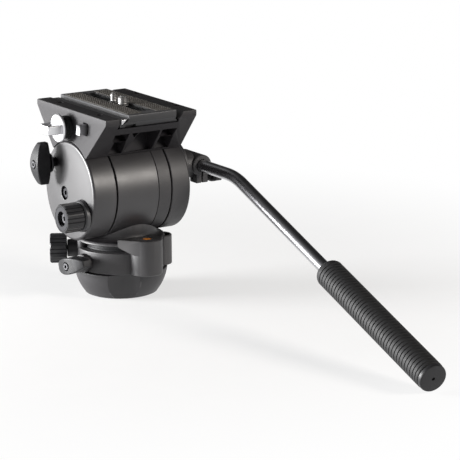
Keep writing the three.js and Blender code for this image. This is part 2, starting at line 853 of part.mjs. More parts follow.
function leftCap() {
  const depth = (capLeftInner - drumLeft) * brakeGuideShare;
  const guide = rodX(
    brakeShoeRadius + brakeGuideWall, drumLeft + capWall / 2, drumLeft + depth, tiltLockY, tiltLockZ);
  return cut(join(turnedX(capProfile(drumLeft, capLeftInner)), guide),
    rodX(shaftRadius + seatGap, drumLeft + capScrewSink + capWall, capLeftInner + cutOverrun),
    rodX(capScrewBore, drumLeft - cutOverrun, drumLeft + capScrewSink, capScrewY, capScrewZ),
    rodX(capScrewRadius / 2 + seatGap, drumLeft - cutOverrun, drumLeft + capScrewSink + capWall,
      capScrewY, capScrewZ, smallSides),
    rodX(wingScrewRadius + seatGap, drumLeft - cutOverrun, drumLeft + capWall + cutOverrun, tiltLockY,
      tiltLockZ, smallSides),
    rodX(brakeShoeRadius + seatGap, drumLeft + capWall, capLeftInner + cutOverrun, tiltLockY, tiltLockZ),
    rodX(dragShaftRadius + seatGap, drumLeft - cutOverrun, drumLeft + capWall + cutOverrun, dragY, dragZ,
      smallSides));
}

function rightCap() {
  const pad = common(
    rodX(rosettePadRadius, drumRight - cutOverrun, drumRight + rosettePad, rosetteY, rosetteZ, wideSides),
    rodX(drumRadius, drumRight - cutOverrun, drumRight + rosettePad, 0, 0, drumSides));
  return cut(join(turnedX(capProfile(drumRight, capRightInner)), pad),
    rodX(shaftRadius + seatGap, capRightInner - cutOverrun, drumRight - capWall),
    rodX(rosetteScrewRadius + seatGap, drumRight - capWall - cutOverrun,
      drumRight + rosettePad + cutOverrun,
      rosetteY, rosetteZ, smallSides));
}

piece(tilt, 'left_end_cap', leftCap(), blackPaint);
piece(tilt, 'right_end_cap', rightCap(), blackPaint);

const shaftLeft = drumLeft + capScrewSink + capWall + seatGap;
piece(tilt, 'tilt_shaft', rodX(shaftRadius, shaftLeft, drumRight - capWall - seatGap), steel);
piece(tilt, 'fluid_rotor', ringX(
  rotorRadius, shaftRadius + seatGap, rotorLeft, rotorLeft + rotorWidth - turningGap, 0, 0, wideSides),
    darkAnodised);

function capScrew() {
  const seat = drumLeft + capScrewSink - seatGap;
  const screw = join(
    rodX(capScrewHead, drumLeft + seatGap, seat),
    rodX(capScrewRadius / 2, seat - seatGap, drumLeft + capScrewSink + capWall - seatGap, 0, 0, smallSides));
  const socket = rodX(hexKeyRadius, drumLeft - cutOverrun, drumLeft + hexKeyDepth, 0, 0, 6);
  return cut(screw, socket).translate(0, capScrewY, capScrewZ);
}
piece(tilt, 'left_cap_screw', capScrew(), blackSteel);

// Platform: a deep channel casting with sloping ends and braced pockets under its deck
function platform() {
  const side = prismX(points(
    [-platformHalfLength, platformTop], [-platformHalfLength, platformTop - platformLip],
    [-platformFootHalf, platformFootHeight], [platformFootHalf, platformFootHeight],
    [platformHalfLength, platformTop - platformLip], [platformHalfLength, platformTop]),
  platformLeft - platformDraft, platformRight + platformDraft);
  const front = prismY(points(
    [platformLeft, platformTop + cutOverrun], [platformLeft, platformTop - platformLip],
    [platformLeft - platformDraft, platformFootHeight - cutOverrun],
    [platformRight + platformDraft, platformFootHeight - cutOverrun],
    [platformRight, platformTop - platformLip], [platformRight, platformTop + cutOverrun]),
  -platformHalfLength - cutOverrun, platformHalfLength + cutOverrun);
  const body = common(side, front);
  const beyond = platformHalfLength + cutOverrun;
  const channel = prismY(points(
    [channelLeft, platformTop + cutOverrun], [channelLeft, channelFloor],
      [plateRight + plateFootRight + seatGap, channelFloor],
    [plateRight + plateFootRight + seatGap, railNoseHeight - plateSkirt + seatGap],
    [channelRight - railUndercut, railNoseHeight], [channelRight, platformTop],
      [channelRight, platformTop + cutOverrun]),
  -beyond, beyond);
  const capSeat = rodX(drumRadius + seatGap, platformLeft - 2 * platformDraft,
    platformRight + 2 * platformDraft, 0, 0, drumSides);
  const middleRoom = rodX(drumRadius + 3 * turningGap, capLeftInner, capRightInner, 0, 0, drumSides);
  return cut(body, channel, capSeat, middleRoom, ...pockets(1), ...pockets(-1), ...platformHoles());
}

// Bays between the ribs, each a triangle under the deck, cut in from one end
function pockets(way) {
  const roof = channelFloor - deckThickness;
  const floor = platformFootHeight + pocketRimHeight;
  const wallLeft = platformLeft + platformWallLeft;
  const wallRight = platformRight - platformWallRight;
  const bays = [
    [wallLeft, ribLeft - ribThickness],
    [ribLeft, ribRight - ribThickness],
    [ribRight, wallRight],
  ];
  const span = way > 0 ? [pocketCoreHalf, platformHalfLength] : [-platformHalfLength, -pocketCoreHalf];
  const cuts = bays.map(([left, right]) => prismY(points(
    [left, roof], [left + ribThickness, (roof + floor) / 2 + ribThickness], [right, floor],
      [right, roof]), ...span));
  const notch = prismY(points([ribLeft + ribThickness, roof], [(ribLeft * 3 + ribRight) / 4, roof],
    [ribLeft + 2 * ribThickness, roof - nearBossDrop]), ...span);
  return [...cuts, notch];
}

function platformHoles() {
  const wall = platformLeft - 2 * platformDraft;
  const key = buttonPocketRim;
  return [
    rodX(lockShaftRadius + seatGap, wall, platformLeft + platformWallLeft + cutOverrun, plateLockY,
      plateLockHeight, smallSides),
    block(wall, platformLeft + buttonPocketDepth, buttonY - buttonWidth / 2 - key,
      buttonY + buttonWidth / 2 + key,
      buttonHeight - buttonTall / 2 - key, buttonHeight + buttonTall / 2 + key),
    rodX(buttonStemRadius + seatGap, wall, platformLeft + platformWallLeft + cutOverrun, buttonY,
      buttonHeight, smallSides),
    ...railScrewPlaces().map(([x, y]) => rodZ(
      railScrewRadius + seatGap, platformTop - railScrewDepth, platformTop + cutOverrun, x, y,
        smallSides)),
  ];
}

function railScrewPlaces() {
  return [railScrewLeftX, railScrewRightX].flatMap((x) => [-railScrewY, railScrewY].map((y) => [x, y]));
}

piece(tilt, 'platform', platform(), blackPaint);

railScrewPlaces().forEach(([x, y], i) => {
  const top = platformTop - railScrewSink;
  const screw = rodZ(railScrewRadius, platformTop - railScrewDepth + seatGap, top, x, y, smallSides);
  piece(tilt, `rail_screw_${i + 1}`, cut(screw, hexKey(hexKeyDepth, top, x, y)), blackSteel);
});

piece(tilt, 'tilt_drag_base', ringX(
  dragBaseRadius, dragShaftRadius + seatGap, drumLeft - seatGap - dragStand + turningGap,
    drumLeft - seatGap, dragY, dragZ),
  darkAnodised);

const bossFace = platformLeft - platformDraft / 2;
piece(tilt, 'plate_lock_boss', cut(
  rodX(plateLockBossRadius, bossFace - plateLockBossLength, bossFace + platformDraft, plateLockY,
    plateLockHeight),
  rodX(lockShaftRadius + seatGap, bossFace - plateLockBossLength - cutOverrun,
    bossFace + 2 * platformDraft,
    plateLockY, plateLockHeight, smallSides),
  platformOutside()), rubberBlack);

// The space just inside the platform's left face, so that the boss stops against it
function platformOutside() {
  const reach = 2 * plateLockBossRadius;
  return prismY(points(
    [platformLeft - seatGap, platformTop], [platformLeft - seatGap, platformTop - platformLip],
    [platformLeft - platformDraft - seatGap, platformFootHeight], [platformRight, platformFootHeight],
    [platformRight, platformTop]), plateLockY - reach, plateLockY + reach);
}

// Rosette on the right cap, the seat that the bar clamp turns on
const rosetteLeft = drumRight + rosettePad + seatGap;
const rosetteRight = rosetteLeft + rosetteThickness;
const rosettePinEnd = clampAxisX - tubeRadius - clampSplit - seatGap;
piece(tilt, 'bar_rosette', join(
  rodX(rosetteRadius, rosetteLeft, rosetteRight, rosetteY, rosetteZ),
  rodX(rosetteScrewRadius, drumRight - capWall + seatGap, rosettePinEnd, rosetteY, rosetteZ,
    smallSides)), darkAnodised);

// Camera plate, its pads and its jaw
const plate = new THREE.Group();
plate.position.z = tiltAxisHeight;
head.add(plate);

const plateLow = channelFloor + seatGap;
const plateFootTop = plateLow + plateSkirt;
const plateHalfLength = platformHalfLength - plateEndInset;
const plateSlotNear = plateSlotNearInset - plateHalfLength;
const plateSlotFar = plateHalfLength - plateSlotFarInset;
const padHalfLength = plateHalfLength - padEndInset;

function longSlot(half, near, far, low, high) {
  return join(
    block(studX - half, studX + half, near + half, far - half, low, high),
    rodZ(half, low, high, studX, near + half, smallSides),
    rodZ(half, low, high, studX, far - half, smallSides));
}

function cameraPlate() {
  const shoulder = plateTop - plateSide;
  const section = prismY(points(
    [plateLeft, plateTop], [plateLeft, shoulder], [plateLeft - (shoulder - plateFootTop), plateFootTop],
    [plateLeft - (shoulder - plateFootTop), plateLow], [plateRight + plateFootRight, plateLow],
    [plateRight + plateFootRight, plateFootTop], [plateRight, railNoseHeight + seatGap],
      [plateRight, plateTop]),
  -plateHalfLength, plateHalfLength);
  const side = prismX(points(
    [-plateHalfLength, plateTop], [-plateHalfLength, plateTop - plateLip],
      [plateEndSlant - plateHalfLength, plateLow],
    [plateHalfLength - plateEndSlant, plateLow], [plateHalfLength, plateTop - plateLip],
      [plateHalfLength, plateTop]),
  platformLeft, platformRight);
  const above = plateTop + cutOverrun;
  const below = plateLow - cutOverrun;
  const headRoom = plateLow + studHeadDepth;
  return cut(common(section, side),
    longSlot(plateSlotHalf, plateSlotNear, plateSlotFar, below, above),
    longSlot(plateSlotRecessHalf, plateSlotNear - plateSlotRecess, plateSlotFar + plateSlotRecess,
      plateTop - plateSlotRecess, above),
    longSlot(plateSlotRecessHalf, plateSlotNear - plateSlotRecess, plateSlotFar + plateSlotRecess, below,
      headRoom),
    block(plateNotchLeft, plateNotchRight, -plateHalfLength - cutOverrun,
      plateNotchDepth - plateHalfLength,
      below, plateLow + plateNotchHeight),
    ...padPlaces().map(([x0, x1]) => block(x0 - seatGap, x1 + seatGap,
      -padHalfLength - seatGap, padHalfLength + seatGap, plateTop - padRecess, above)));
}

function padPlaces() {
  const left = plateLeft + padInset;
  const right = plateRight - padInset;
  return [[left, left + padWidth], [right - padWidth, right]];
}

piece(plate, 'camera_plate', cameraPlate(), darkAnodised);
padPlaces().forEach(([x0, x1], i) => {
  const low = plateTop - padRecess;
  piece(plate, i ? 'plate_pad_right' : 'plate_pad_left',
    block(x0, x1, -padHalfLength, padHalfLength, low, low + padThickness), rubberBlack);
});

function cameraScrew(radius, flange, y, top) {
  const headLow = plateLow + studHeadDepth - seatGap - studHeadHeight;
  const seatLow = plateTop - plateSlotRecess + seatGap;
  const flangeTop = seatLow + studFlangeThickness;
  const stud = new THREE.CylinderGeometry(radius - studTipBevel, radius, studTipBevel, smallSides)
    .rotateX(Math.PI / 2).translate(studX, y, top - studTipBevel / 2);
  const body = join(
    rodZ(studHeadRadius, headLow, headLow + studHeadHeight, studX, y, smallSides),
    rodZ(studNeckRadius, headLow, seatLow + studFlangeThickness / 2, studX, y, smallSides),
    rodZ(flange, seatLow, flangeTop, studX, y, smallSides),
    rodZ(radius, seatLow, top - studTipBevel, studX, y, smallSides),
    stud);
  const half = screwSlot / 2;
  return cut(body,
    block(studX - flange, studX + flange, y - half, y + half, top - screwSlotDepth, top + cutOverrun),
    block(studX - half, studX + half, y - studHeadRadius, y + studHeadRadius, headLow - cutOverrun,
      headLow + screwSlotDepth));
}
piece(plate, 'camera_screw_small', cameraScrew(smallStudRadius, smallStudFlange, smallStudY,
  smallStudTop), steel);
piece(plate, 'camera_screw_large', cameraScrew(largeStudRadius, largeStudFlange, largeStudY,
  largeStudTop), steel);

// The jaw leans less than the plate's flank, so only its foot bears on it
function clampJaw() {
  const top = platformTop - jawDrop;
  const low = top - jawHeight;
  const outer = channelLeft + jawRoom;
  const foot = plateLeft - (plateTop - plateSide - plateFootTop);
  const lean = (plateLeft - foot) / (plateTop - plateFootTop);
  const faceAt = (height) => foot - jawClearance + (height - plateFootTop) * lean;
  const half = platformHalfLength - jawEndInset;
  return prismY(points([outer, top], [outer, low], [faceAt(low), low], [faceAt(top), top]), -half, half);
}
piece(plate, 'clamp_jaw', clampJaw(), bareAluminium);

// Controls on the left side
const controls = new THREE.Group();
controls.position.z = tiltAxisHeight;
head.add(controls);

const lockFace = bossFace - plateLockBossLength - seatGap;

function plateLockKnob() {
  const barFoot = lockFace - plateLockDisc;
  const tip = barFoot - plateLockBarLength;
  const root = plateLockBarRoot / 2;
  const end = plateLockBarTip / 2;
  const bar = new THREE.Shape(points(
    [barFoot, -root], [barFoot, root], [tip + plateLockDisc, end + knobBevel], [tip, end], [tip, -end],
    [tip + plateLockDisc, -end - knobBevel]));
  const handle = new THREE.ExtrudeGeometry(bar, {
    depth: plateLockBarHeight - 2 * knobBevel, bevelEnabled: true, bevelSegments: 1,
    bevelSize: knobBevel, bevelThickness: knobBevel, bevelOffset: -knobBevel,
  }).translate(0, plateLockY, plateLockHeight - plateLockBarHeight / 2 + knobBevel);
  const disc = turnedX(points([0, lockFace], [plateLockDiscRadius - knobBevel, lockFace],
    [plateLockDiscRadius, lockFace - knobBevel],
      [plateLockDiscRadius, lockFace - plateLockDisc + knobBevel],
    [plateLockDiscRadius - knobBevel, lockFace - plateLockDisc], [0, lockFace - plateLockDisc]),
      wideSides);
  const inner = block(barFoot - knobBevel, lockFace - seatGap, plateLockY - root + knobBevel,
    plateLockY + root - knobBevel,
    plateLockHeight - plateLockBarHeight / 2 + knobBevel,
      plateLockHeight + plateLockBarHeight / 2 - knobBevel);
  const shaft = rodX(
    lockShaftRadius, lockFace - plateLockDisc / 2, platformLeft + lockShaftReach, plateLockY,
      plateLockHeight, smallSides);
  return join(disc.translate(0, plateLockY, plateLockHeight), handle, inner, shaft);
}
piece(controls, 'plate_lock_knob', plateLockKnob(), silverMetal);

function releaseButton() {
  const half = buttonWidth / 2;
  const face = platformLeft - buttonReach;
  const body = knobPrism(new THREE.Shape(points(
    [-buttonTall / 2, -half], [buttonTall / 2, -half], [buttonTall / 2, half], [-buttonTall / 2, half])),
  buttonReach + buttonSunk, buttonEdge).translate(platformLeft + buttonSunk, buttonY, buttonHeight);
  const stem = rodX(buttonStemRadius, face + buttonReach, platformLeft + buttonSunk + buttonStemLength,
    buttonY, buttonHeight, smallSides);
  return join(body, stem);
}
piece(controls, 'release_button', releaseButton(), silverMetal);

// A wing knob pointing along -X from the origin, long way up
function wingShape(share) {
  const [length, width, tip] = [wingHalfLength * share, wingHalfWidth * share, wingTipHalf * share];
  const shape = new THREE.Shape();
  shape.moveTo(-length, -tip);
  shape.quadraticCurveTo(0, tip - 2 * width, length, -tip);
  shape.lineTo(length, tip);
  shape.quadraticCurveTo(0, 2 * width - tip, -length, tip);
  return shape;
}

// The outer face of a wing is domed, so its tips are thinner than its middle
function wingDome(share) {
  const [half, thick, tip] = [wingHalfLength * share, wingThickness * share, wingTipThickness * share];
  const arc = Array.from({ length: wingDomeSteps + 1 }, (_, i) => {
    const t = (2 * i) / wingDomeSteps - 1;
    return [t * t * (thick - tip) - thick, t * (half + cutOverrun)];
  });
  const rim = half + cutOverrun;
  return prismY(points([cutOverrun, -rim], ...arc, [cutOverrun, rim]), -half, half);
}

function wingKnob(share = 1, hub = wingHubLength * share) {
  const thick = wingThickness * share;
  const wing = common(knobPrism(wingShape(share), thick, wingBevel * share), wingDome(share))
    .translate(-hub, 0, 0);
  const screwRoom = wingScrewRadius * share + seatGap;
  return cut(join(wing, rodX(wingHubRadius * share, -hub - wingBevel * share, 0)),
    rodX(wingRecessRadius * share, -hub - thick - cutOverrun, wingRecessDepth * share - hub - thick),
    rodX(screwRoom, -hub - thick, cutOverrun, 0, 0, smallSides));
}

function wingScrew(length, share = 1, hub = wingHubLength * share) {
  const top = (wingRecessDepth - wingThickness) * share - hub;
  const screw = join(
    rodX(wingScrewHead * share, top - wingScrewHeadHeight * share, top - seatGap, 0, 0, smallSides),
    rodX(wingScrewRadius * share, top - seatGap * 2, length, 0, 0, smallSides));
  const face = top - wingScrewHeadHeight * share;
  return cut(screw, rodX(hexKeyRadius * share, face - cutOverrun, face + hexKeyDepth * share, 0, 0, 6));
}

const wingX = drumLeft - tiltLockStand;
const shoeFace = drumLeft + capWall + seatGap;
piece(controls, 'tilt_lock_wing', wingKnob(1, tiltLockHub).translate(wingX, tiltLockY, tiltLockZ),
  blackPlastic);
piece(controls, 'tilt_lock_screw', wingScrew(shoeFace - wingX - seatGap, 1, tiltLockHub).translate(
  wingX, tiltLockY, tiltLockZ), steel);

function lockBushing() {
  const step = (tiltLockStand - 2 * seatGap) / (2 * tiltLockBushRings - 1);
  const low = wingX + seatGap;
  const rings = Array.from({ length: tiltLockBushRings }, (_, i) =>
    rodX(tiltLockBushRadius, low + 2 * i * step, low + (2 * i + 1) * step, tiltLockY, tiltLockZ,
      smallSides));
  const core = rodX(tiltLockBushWaist, low, drumLeft - seatGap, tiltLockY, tiltLockZ, smallSides);
  const flange = rodX(tiltLockFlangeRadius, low, low + tiltLockFlangeThickness, tiltLockY, tiltLockZ);
  const bore = rodX(wingScrewRadius + seatGap, low - cutOverrun, drumLeft + cutOverrun, tiltLockY,
    tiltLockZ, smallSides);
  return cut(join(core, flange, ...rings), bore);
}
piece(tilt, 'tilt_lock_bushing', lockBushing(), blackSteel);
piece(tilt, 'tilt_brake_shoe', rodX(
  brakeShoeRadius, shoeFace + shoeTravelGap, middleLeft - brakeDiscThickness - 2 * seatGap, tiltLockY,
    tiltLockZ), brassMetal);

// Eight-sided ribbed knobs, outline about the origin with grooves along each side
function ribbedShape(radius) {
  const inner = radius * Math.cos(Math.PI / dragSides);
  const side = 2 * radius * Math.sin(Math.PI / dragSides);
  const pitch = side / (dragGrooves + 1);
  const outline = Array.from({ length: dragSides }, (_, k) => {
    const angle = (2 * Math.PI * k) / dragSides;
    const [nx, ny] = [Math.cos(angle), Math.sin(angle)];
    const at = (along, depth) => [nx * (inner - depth) - ny * along, ny * (inner - depth) + nx * along];
    const run = [at(dragGrooveDepth - side / 2, 0)];
    for (let g = 1; g <= dragGrooves; g += 1) {
      const middle = g * pitch - side / 2;
      run.push(at(middle - dragGrooveDepth, 0), at(middle, dragGrooveDepth),
        at(middle + dragGrooveDepth, 0));
    }
    run.push(at(side / 2 - dragGrooveDepth, 0));
    return run;
  }).flat();
  return new THREE.Shape(points(...outline));
}

function ribbedKnob(radius, length) {
  return knobPrism(ribbedShape(radius), length, knobBevel);
}

const dragKnobX = drumLeft - dragStand - 2 * seatGap - turningGap;

function tiltDragKnob() {
  const face = -dragKnobLength;
  return cut(ribbedKnob(dragKnobRadius, dragKnobLength),
    rodX(dragDialRadius + seatGap, face - cutOverrun, face + dragDialThickness),
    rodX(dragDialBore - seatGap, face - cutOverrun, face + dragBoreDepth),
    rodX(dragShaftRadius + seatGap, face / 2, cutOverrun, 0, 0, smallSides)).translate(dragKnobX, dragY,
      dragZ);
}
piece(controls, 'tilt_drag_knob', tiltDragKnob(), blackPlastic);
piece(controls, 'tilt_drag_dial', ringX(
  dragDialRadius, dragDialBore, dragKnobX - dragKnobLength,
    dragKnobX - dragKnobLength + dragDialThickness, dragY, dragZ), silverMetal);
piece(controls, 'tilt_drag_shaft', rodX(
  dragShaftRadius, dragKnobX - dragKnobLength / 2 + seatGap, drumLeft + dragShaftReach, dragY, dragZ,
    smallSides), steel);

function onCollar(geometry, reach, angle, height) {
  return geometry.rotateZ(Math.PI).translate(reach, 0, height).rotateZ(angle * degrees);
}
piece(head, 'pan_lock_wing', onCollar(wingKnob().rotateX(Math.PI / 2 - panLockLean * degrees),
  panLockKnobReach, panLockAngle, panLockHeight), blackPlastic);
piece(head, 'pan_lock_screw', onCollar(
  wingScrew(panLockKnobReach - shoeOuter - seatGap), panLockKnobReach, panLockAngle, panLockHeight),
    steel);

function panDragKnob() {
  return cut(ribbedKnob(panDragKnobRadius, panDragKnobLength),
    rodX(dragShaftRadius + seatGap, -panDragKnobLength / 2, cutOverrun, 0, 0, smallSides));
}
piece(head, 'pan_drag_knob', onCollar(panDragKnob(), panDragKnobReach, panDragAngle, panDragHeight),
  blackPlastic);
piece(head, 'pan_drag_shaft', onCollar(
  rodX(dragShaftRadius, seatGap - panDragKnobLength / 2, panDragKnobReach - shoeOuter - seatGap, 0, 0,
    smallSides),
  panDragKnobReach, panDragAngle, panDragHeight), steel);

// Bar clamp: a split sleeve on the rosette
const arm = new THREE.Group();
arm.position.z = tiltAxisHeight;
head.add(arm);

const clampLeft = rosetteRight + seatGap;
const lugScrewZ = rosetteZ - clampScrewDrop;

function barClamp() {
  const groove = clampFront + clampRing;
  const ringed = join(
    rodY(clampRadius, clampFront, groove, clampAxisX, rosetteZ),
    rodY(clampRadius - clampRingStep, groove - seatGap, groove + clampRingGroove + seatGap, clampAxisX,
      rosetteZ),
    rodY(clampRadius, groove + clampRingGroove, clampBack, clampAxisX, rosetteZ));
  const body = join(ringed,
    rodX(clampBossRadius, clampLeft, clampAxisX - tubeRadius, rosetteY, rosetteZ),
    block(clampAxisX - clampLugWidth, clampAxisX + clampLugWidth,
      clampLugCentre - clampLugLength / 2, clampLugCentre + clampLugLength / 2, rosetteZ - clampLugDrop,
        rosetteZ));
  return cut(body,
    rodY(tubeRadius + seatGap, clampFront - cutOverrun, clampBack + cutOverrun, clampAxisX, rosetteZ,
      wideSides),
    block(clampAxisX - clampSplit / 2, clampAxisX + clampSplit / 2, clampFront - cutOverrun, rosetteY,
      rosetteZ - clampLugDrop - cutOverrun, rosetteZ),
    rodX(wingScrewRadius * clampKnobShare + seatGap, clampAxisX - clampLugWidth - cutOverrun,
      clampAxisX + clampLugWidth + cutOverrun, clampLugCentre, lugScrewZ, smallSides),
    rodX(rosetteScrewRadius + seatGap, clampLeft - cutOverrun, clampAxisX - tubeRadius - seatGap * 2,
      rosetteY, rosetteZ, smallSides));
}
piece(arm, 'bar_clamp', barClamp(), blackPaint);
const clampKnobX = clampAxisX + clampLugWidth + clampKnobStand;

function onClamp(geometry) {
  return geometry.rotateZ(Math.PI).translate(clampKnobX, clampLugCentre, lugScrewZ);
}
piece(arm, 'bar_clamp_knob', onClamp(wingKnob(clampKnobShare).rotateX(Math.PI / 2)), blackPlastic);
piece(arm, 'bar_clamp_screw', onClamp(
  wingScrew(clampKnobX - clampAxisX + clampLugWidth - seatGap, clampKnobShare)), steel);

// Bar and grip
const bend = new THREE.Vector3(clampAxisX, bendY, rosetteZ);
const barEnd = new THREE.Vector3(gripEndX, -gripEndReach, gripRadius - tiltAxisHeight);
const barWay = barEnd.clone().sub(bend).normalize();

// A path through fixed stations, so that only the bend is finely stepped
class StationPath extends THREE.Curve {
  constructor(stations) {
    super();
    this.stations = stations;
  }

  getPoint(t) {
    const last = this.stations.length - 1;
    const i = Math.min(Math.floor(t * last), last - 1);
    return this.stations[i].clone().lerp(this.stations[i + 1], t * last - i);
  }

  getUtoTmapping(u) {
    return u;
  }
}

function barStations() {
  const start = new THREE.Vector3(clampAxisX, clampBack - tubeSetBack, rosetteZ);
  const bendFrom = bend.clone().add(start.clone().sub(bend).setLength(bendReach));
  const bendTo = bend.clone().addScaledVector(barWay, bendReach);
  const curve = new THREE.QuadraticBezierCurve3(bendFrom, bend, bendTo);
  return [start, ...curve.getPoints(bendSteps), barEnd.clone().addScaledVector(barWay, -tubeEndGap)];
}

function barTube() {
  const stations = barStations();
  const wall = wireSection(tubeRadius, tubeSides);
  wall.holes.push(wireSection(tubeRadius - tubeWall, tubeSides));
  return new THREE.ExtrudeGeometry(wall, {
    steps: stations.length - 1, extrudePath: new StationPath(stations), bevelEnabled: false,
  });
}
piece(arm, 'pan_bar_tube', barTube(), glossTube);

// A turned piece whose profile height runs back from the bar's end
function onBar(profile, sides) {
  const turn = new THREE.Quaternion().setFromUnitVectors(new THREE.Vector3(0, 1, 0),
    barWay.clone().negate());
  return new THREE.LatheGeometry(profile, sides).applyQuaternion(turn).translate(barEnd.x, barEnd.y,
    barEnd.z);
}

const gripFoot = endCapThickness + seatGap;
piece(arm, 'bar_grip', onBar(points(
  [tubeRadius + seatGap, gripFoot], [gripRadius - gripEndRound, gripFoot],
    [gripRadius, gripFoot + gripEndRound],
  [gripRadius, gripLength - gripShoulder], [gripNeckRadius, gripLength],
    [tubeRadius + seatGap, gripLength],
  [tubeRadius + seatGap, gripFoot]), gripSides), rubberBlack);

// The cap closes the grip, with a stepped plug through it into the tube
function gripEndCap() {
  const bore = tubeRadius - tubeWall - seatGap;
  const tubeEnd = tubeEndGap - seatGap;
  return onBar(points(
    [0, endCapPlugReach], [0, endCapHole], [endCapHole, endCapHole], [endCapHole, 0],
      [endCapRadius - gripEndRound, 0],
    [endCapRadius, gripEndRound], [endCapRadius, endCapThickness], [tubeRadius, endCapThickness],
    [tubeRadius, tubeEnd], [bore, tubeEnd], [bore, endCapPlugReach], [0, endCapPlugReach]), gripSides);
}
piece(arm, 'grip_end_cap', gripEndCap(), blackPlastic);

export default head;
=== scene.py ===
# %% [markdown]
# # A fluid video head, dressed for its portrait
# The head stands on its half ball, with a tilting drum, a camera plate on top and a bent
# pan bar whose rubber grip comes down to the table. Its solids come packed from CAD, so the
# script starts by loading them: every new piece is then made where the CAD piece stands.

import json
from math import acos, asin, atan2, cos, degrees, hypot, pi, radians, sin, sqrt

import bmesh
import bpy
from mathutils import Matrix, Vector


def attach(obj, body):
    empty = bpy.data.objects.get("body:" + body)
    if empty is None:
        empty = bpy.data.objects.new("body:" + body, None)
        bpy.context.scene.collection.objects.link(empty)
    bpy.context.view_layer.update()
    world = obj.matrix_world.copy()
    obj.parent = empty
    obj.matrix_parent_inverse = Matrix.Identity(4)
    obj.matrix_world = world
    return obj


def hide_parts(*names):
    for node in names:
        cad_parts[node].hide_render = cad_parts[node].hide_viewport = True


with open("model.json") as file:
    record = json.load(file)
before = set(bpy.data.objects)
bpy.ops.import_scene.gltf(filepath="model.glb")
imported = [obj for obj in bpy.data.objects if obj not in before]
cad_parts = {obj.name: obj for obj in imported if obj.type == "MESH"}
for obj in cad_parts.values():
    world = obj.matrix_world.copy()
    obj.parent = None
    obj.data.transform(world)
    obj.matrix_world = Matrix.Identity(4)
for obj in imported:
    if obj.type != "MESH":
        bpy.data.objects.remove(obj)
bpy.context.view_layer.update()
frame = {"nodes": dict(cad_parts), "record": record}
nodes = frame["nodes"]
scene = bpy.context.scene
scene.view_settings.view_transform = "Standard"


def linked(name, data):
    """A new object in the scene, round this mesh, lamp or camera."""
    thing = bpy.data.objects.new(name, data)
    scene.collection.objects.link(thing)
    return thing


# %% [markdown]
# ## The camera
# A product portrait is taken from far off with a long lens, which keeps parallel edges
# nearly parallel. The eye here stands 2.6 m away, turned 32 degrees to the head's left and
# raised 14 degrees. A camera could be aimed with a constraint; its matrix is built from
# three plain directions instead, because then nothing else has to be kept in the scene.

# %% Camera
MM = 0.001
AXIS_HEIGHT = 111.3
DISTANCE, AIM_ACROSS, AIM_UP = 2599.95, 111.58, -46.68
SENSOR, PICTURE, FOCAL_PIXELS = 36, 460, 2571.86
turned, tipped, rolled = (radians(angle) for angle in (-32.22, 13.64, -0.4))
flat = cos(tipped)
back = Vector((sin(turned) * flat, -cos(turned) * flat, sin(tipped)))
across = Vector((cos(turned), sin(turned), 0))
upward = back.cross(across)
right = cos(rolled) * across + sin(rolled) * upward
top = cos(rolled) * upward - sin(rolled) * across
aim = (right * AIM_ACROSS + top * AIM_UP + Vector((0, 0, AXIS_HEIGHT))) * MM
eye = aim + back * DISTANCE * MM
camera = linked("camera", bpy.data.cameras.new("camera"))
camera.data.sensor_width = SENSOR
camera.data.lens = SENSOR * FOCAL_PIXELS / PICTURE
camera.data.clip_end = 50
camera.matrix_world = Matrix.Translation(eye) @ Matrix((right, top, back)).transposed().to_4x4()
scene.camera = camera
print("camera at", [round(v, 3) for v in eye], "lens", round(camera.data.lens, 1), "mm")

# %% [markdown]
# ## Shader maths in plain Python
# A pattern is a sum of small functions of place. Each could be drawn as boxes and wires in
# the editor. Here a wrapped socket understands + - * and friends, so that a pattern reads
# like the formula that it is, and one method adds every other kind of node.

# %% Links and finishes
def tone(*screen):
    """A colour as a screen shows it, 0 to 255, as the linear numbers that shaders use."""
    parts = [part / 255 for part in screen]
    return tuple(p / 12.92 if p <= 0.04045 else ((p + 0.055) / 1.055) ** 2.4 for p in parts) + (1,)


class Link:
    """One output socket of a finish, on which Python's operators add Math nodes."""

    def __init__(self, finish, socket):
        self.finish = finish
        self.socket = socket

    def __add__(self, other):
        return self.finish.maths("ADD", self, other)

    __radd__ = __add__

    def __sub__(self, other):
        return self.finish.maths("SUBTRACT", self, other)

    def __rsub__(self, other):
        return self.finish.maths("SUBTRACT", other, self)

    def __mul__(self, other):
        return self.finish.maths("MULTIPLY", self, other)

    __rmul__ = __mul__

    def ramp(self, low, high, start=0.0, end=1.0):
        """Follows the value from low to high smoothly, and gives start to end."""
        return self.finish.node("ShaderNodeMapRange", dict(interpolation_type="SMOOTHSTEP"), {
            "Value": self, "From Min": low, "From Max": high, "To Min": start, "To Max": end}, "Result")


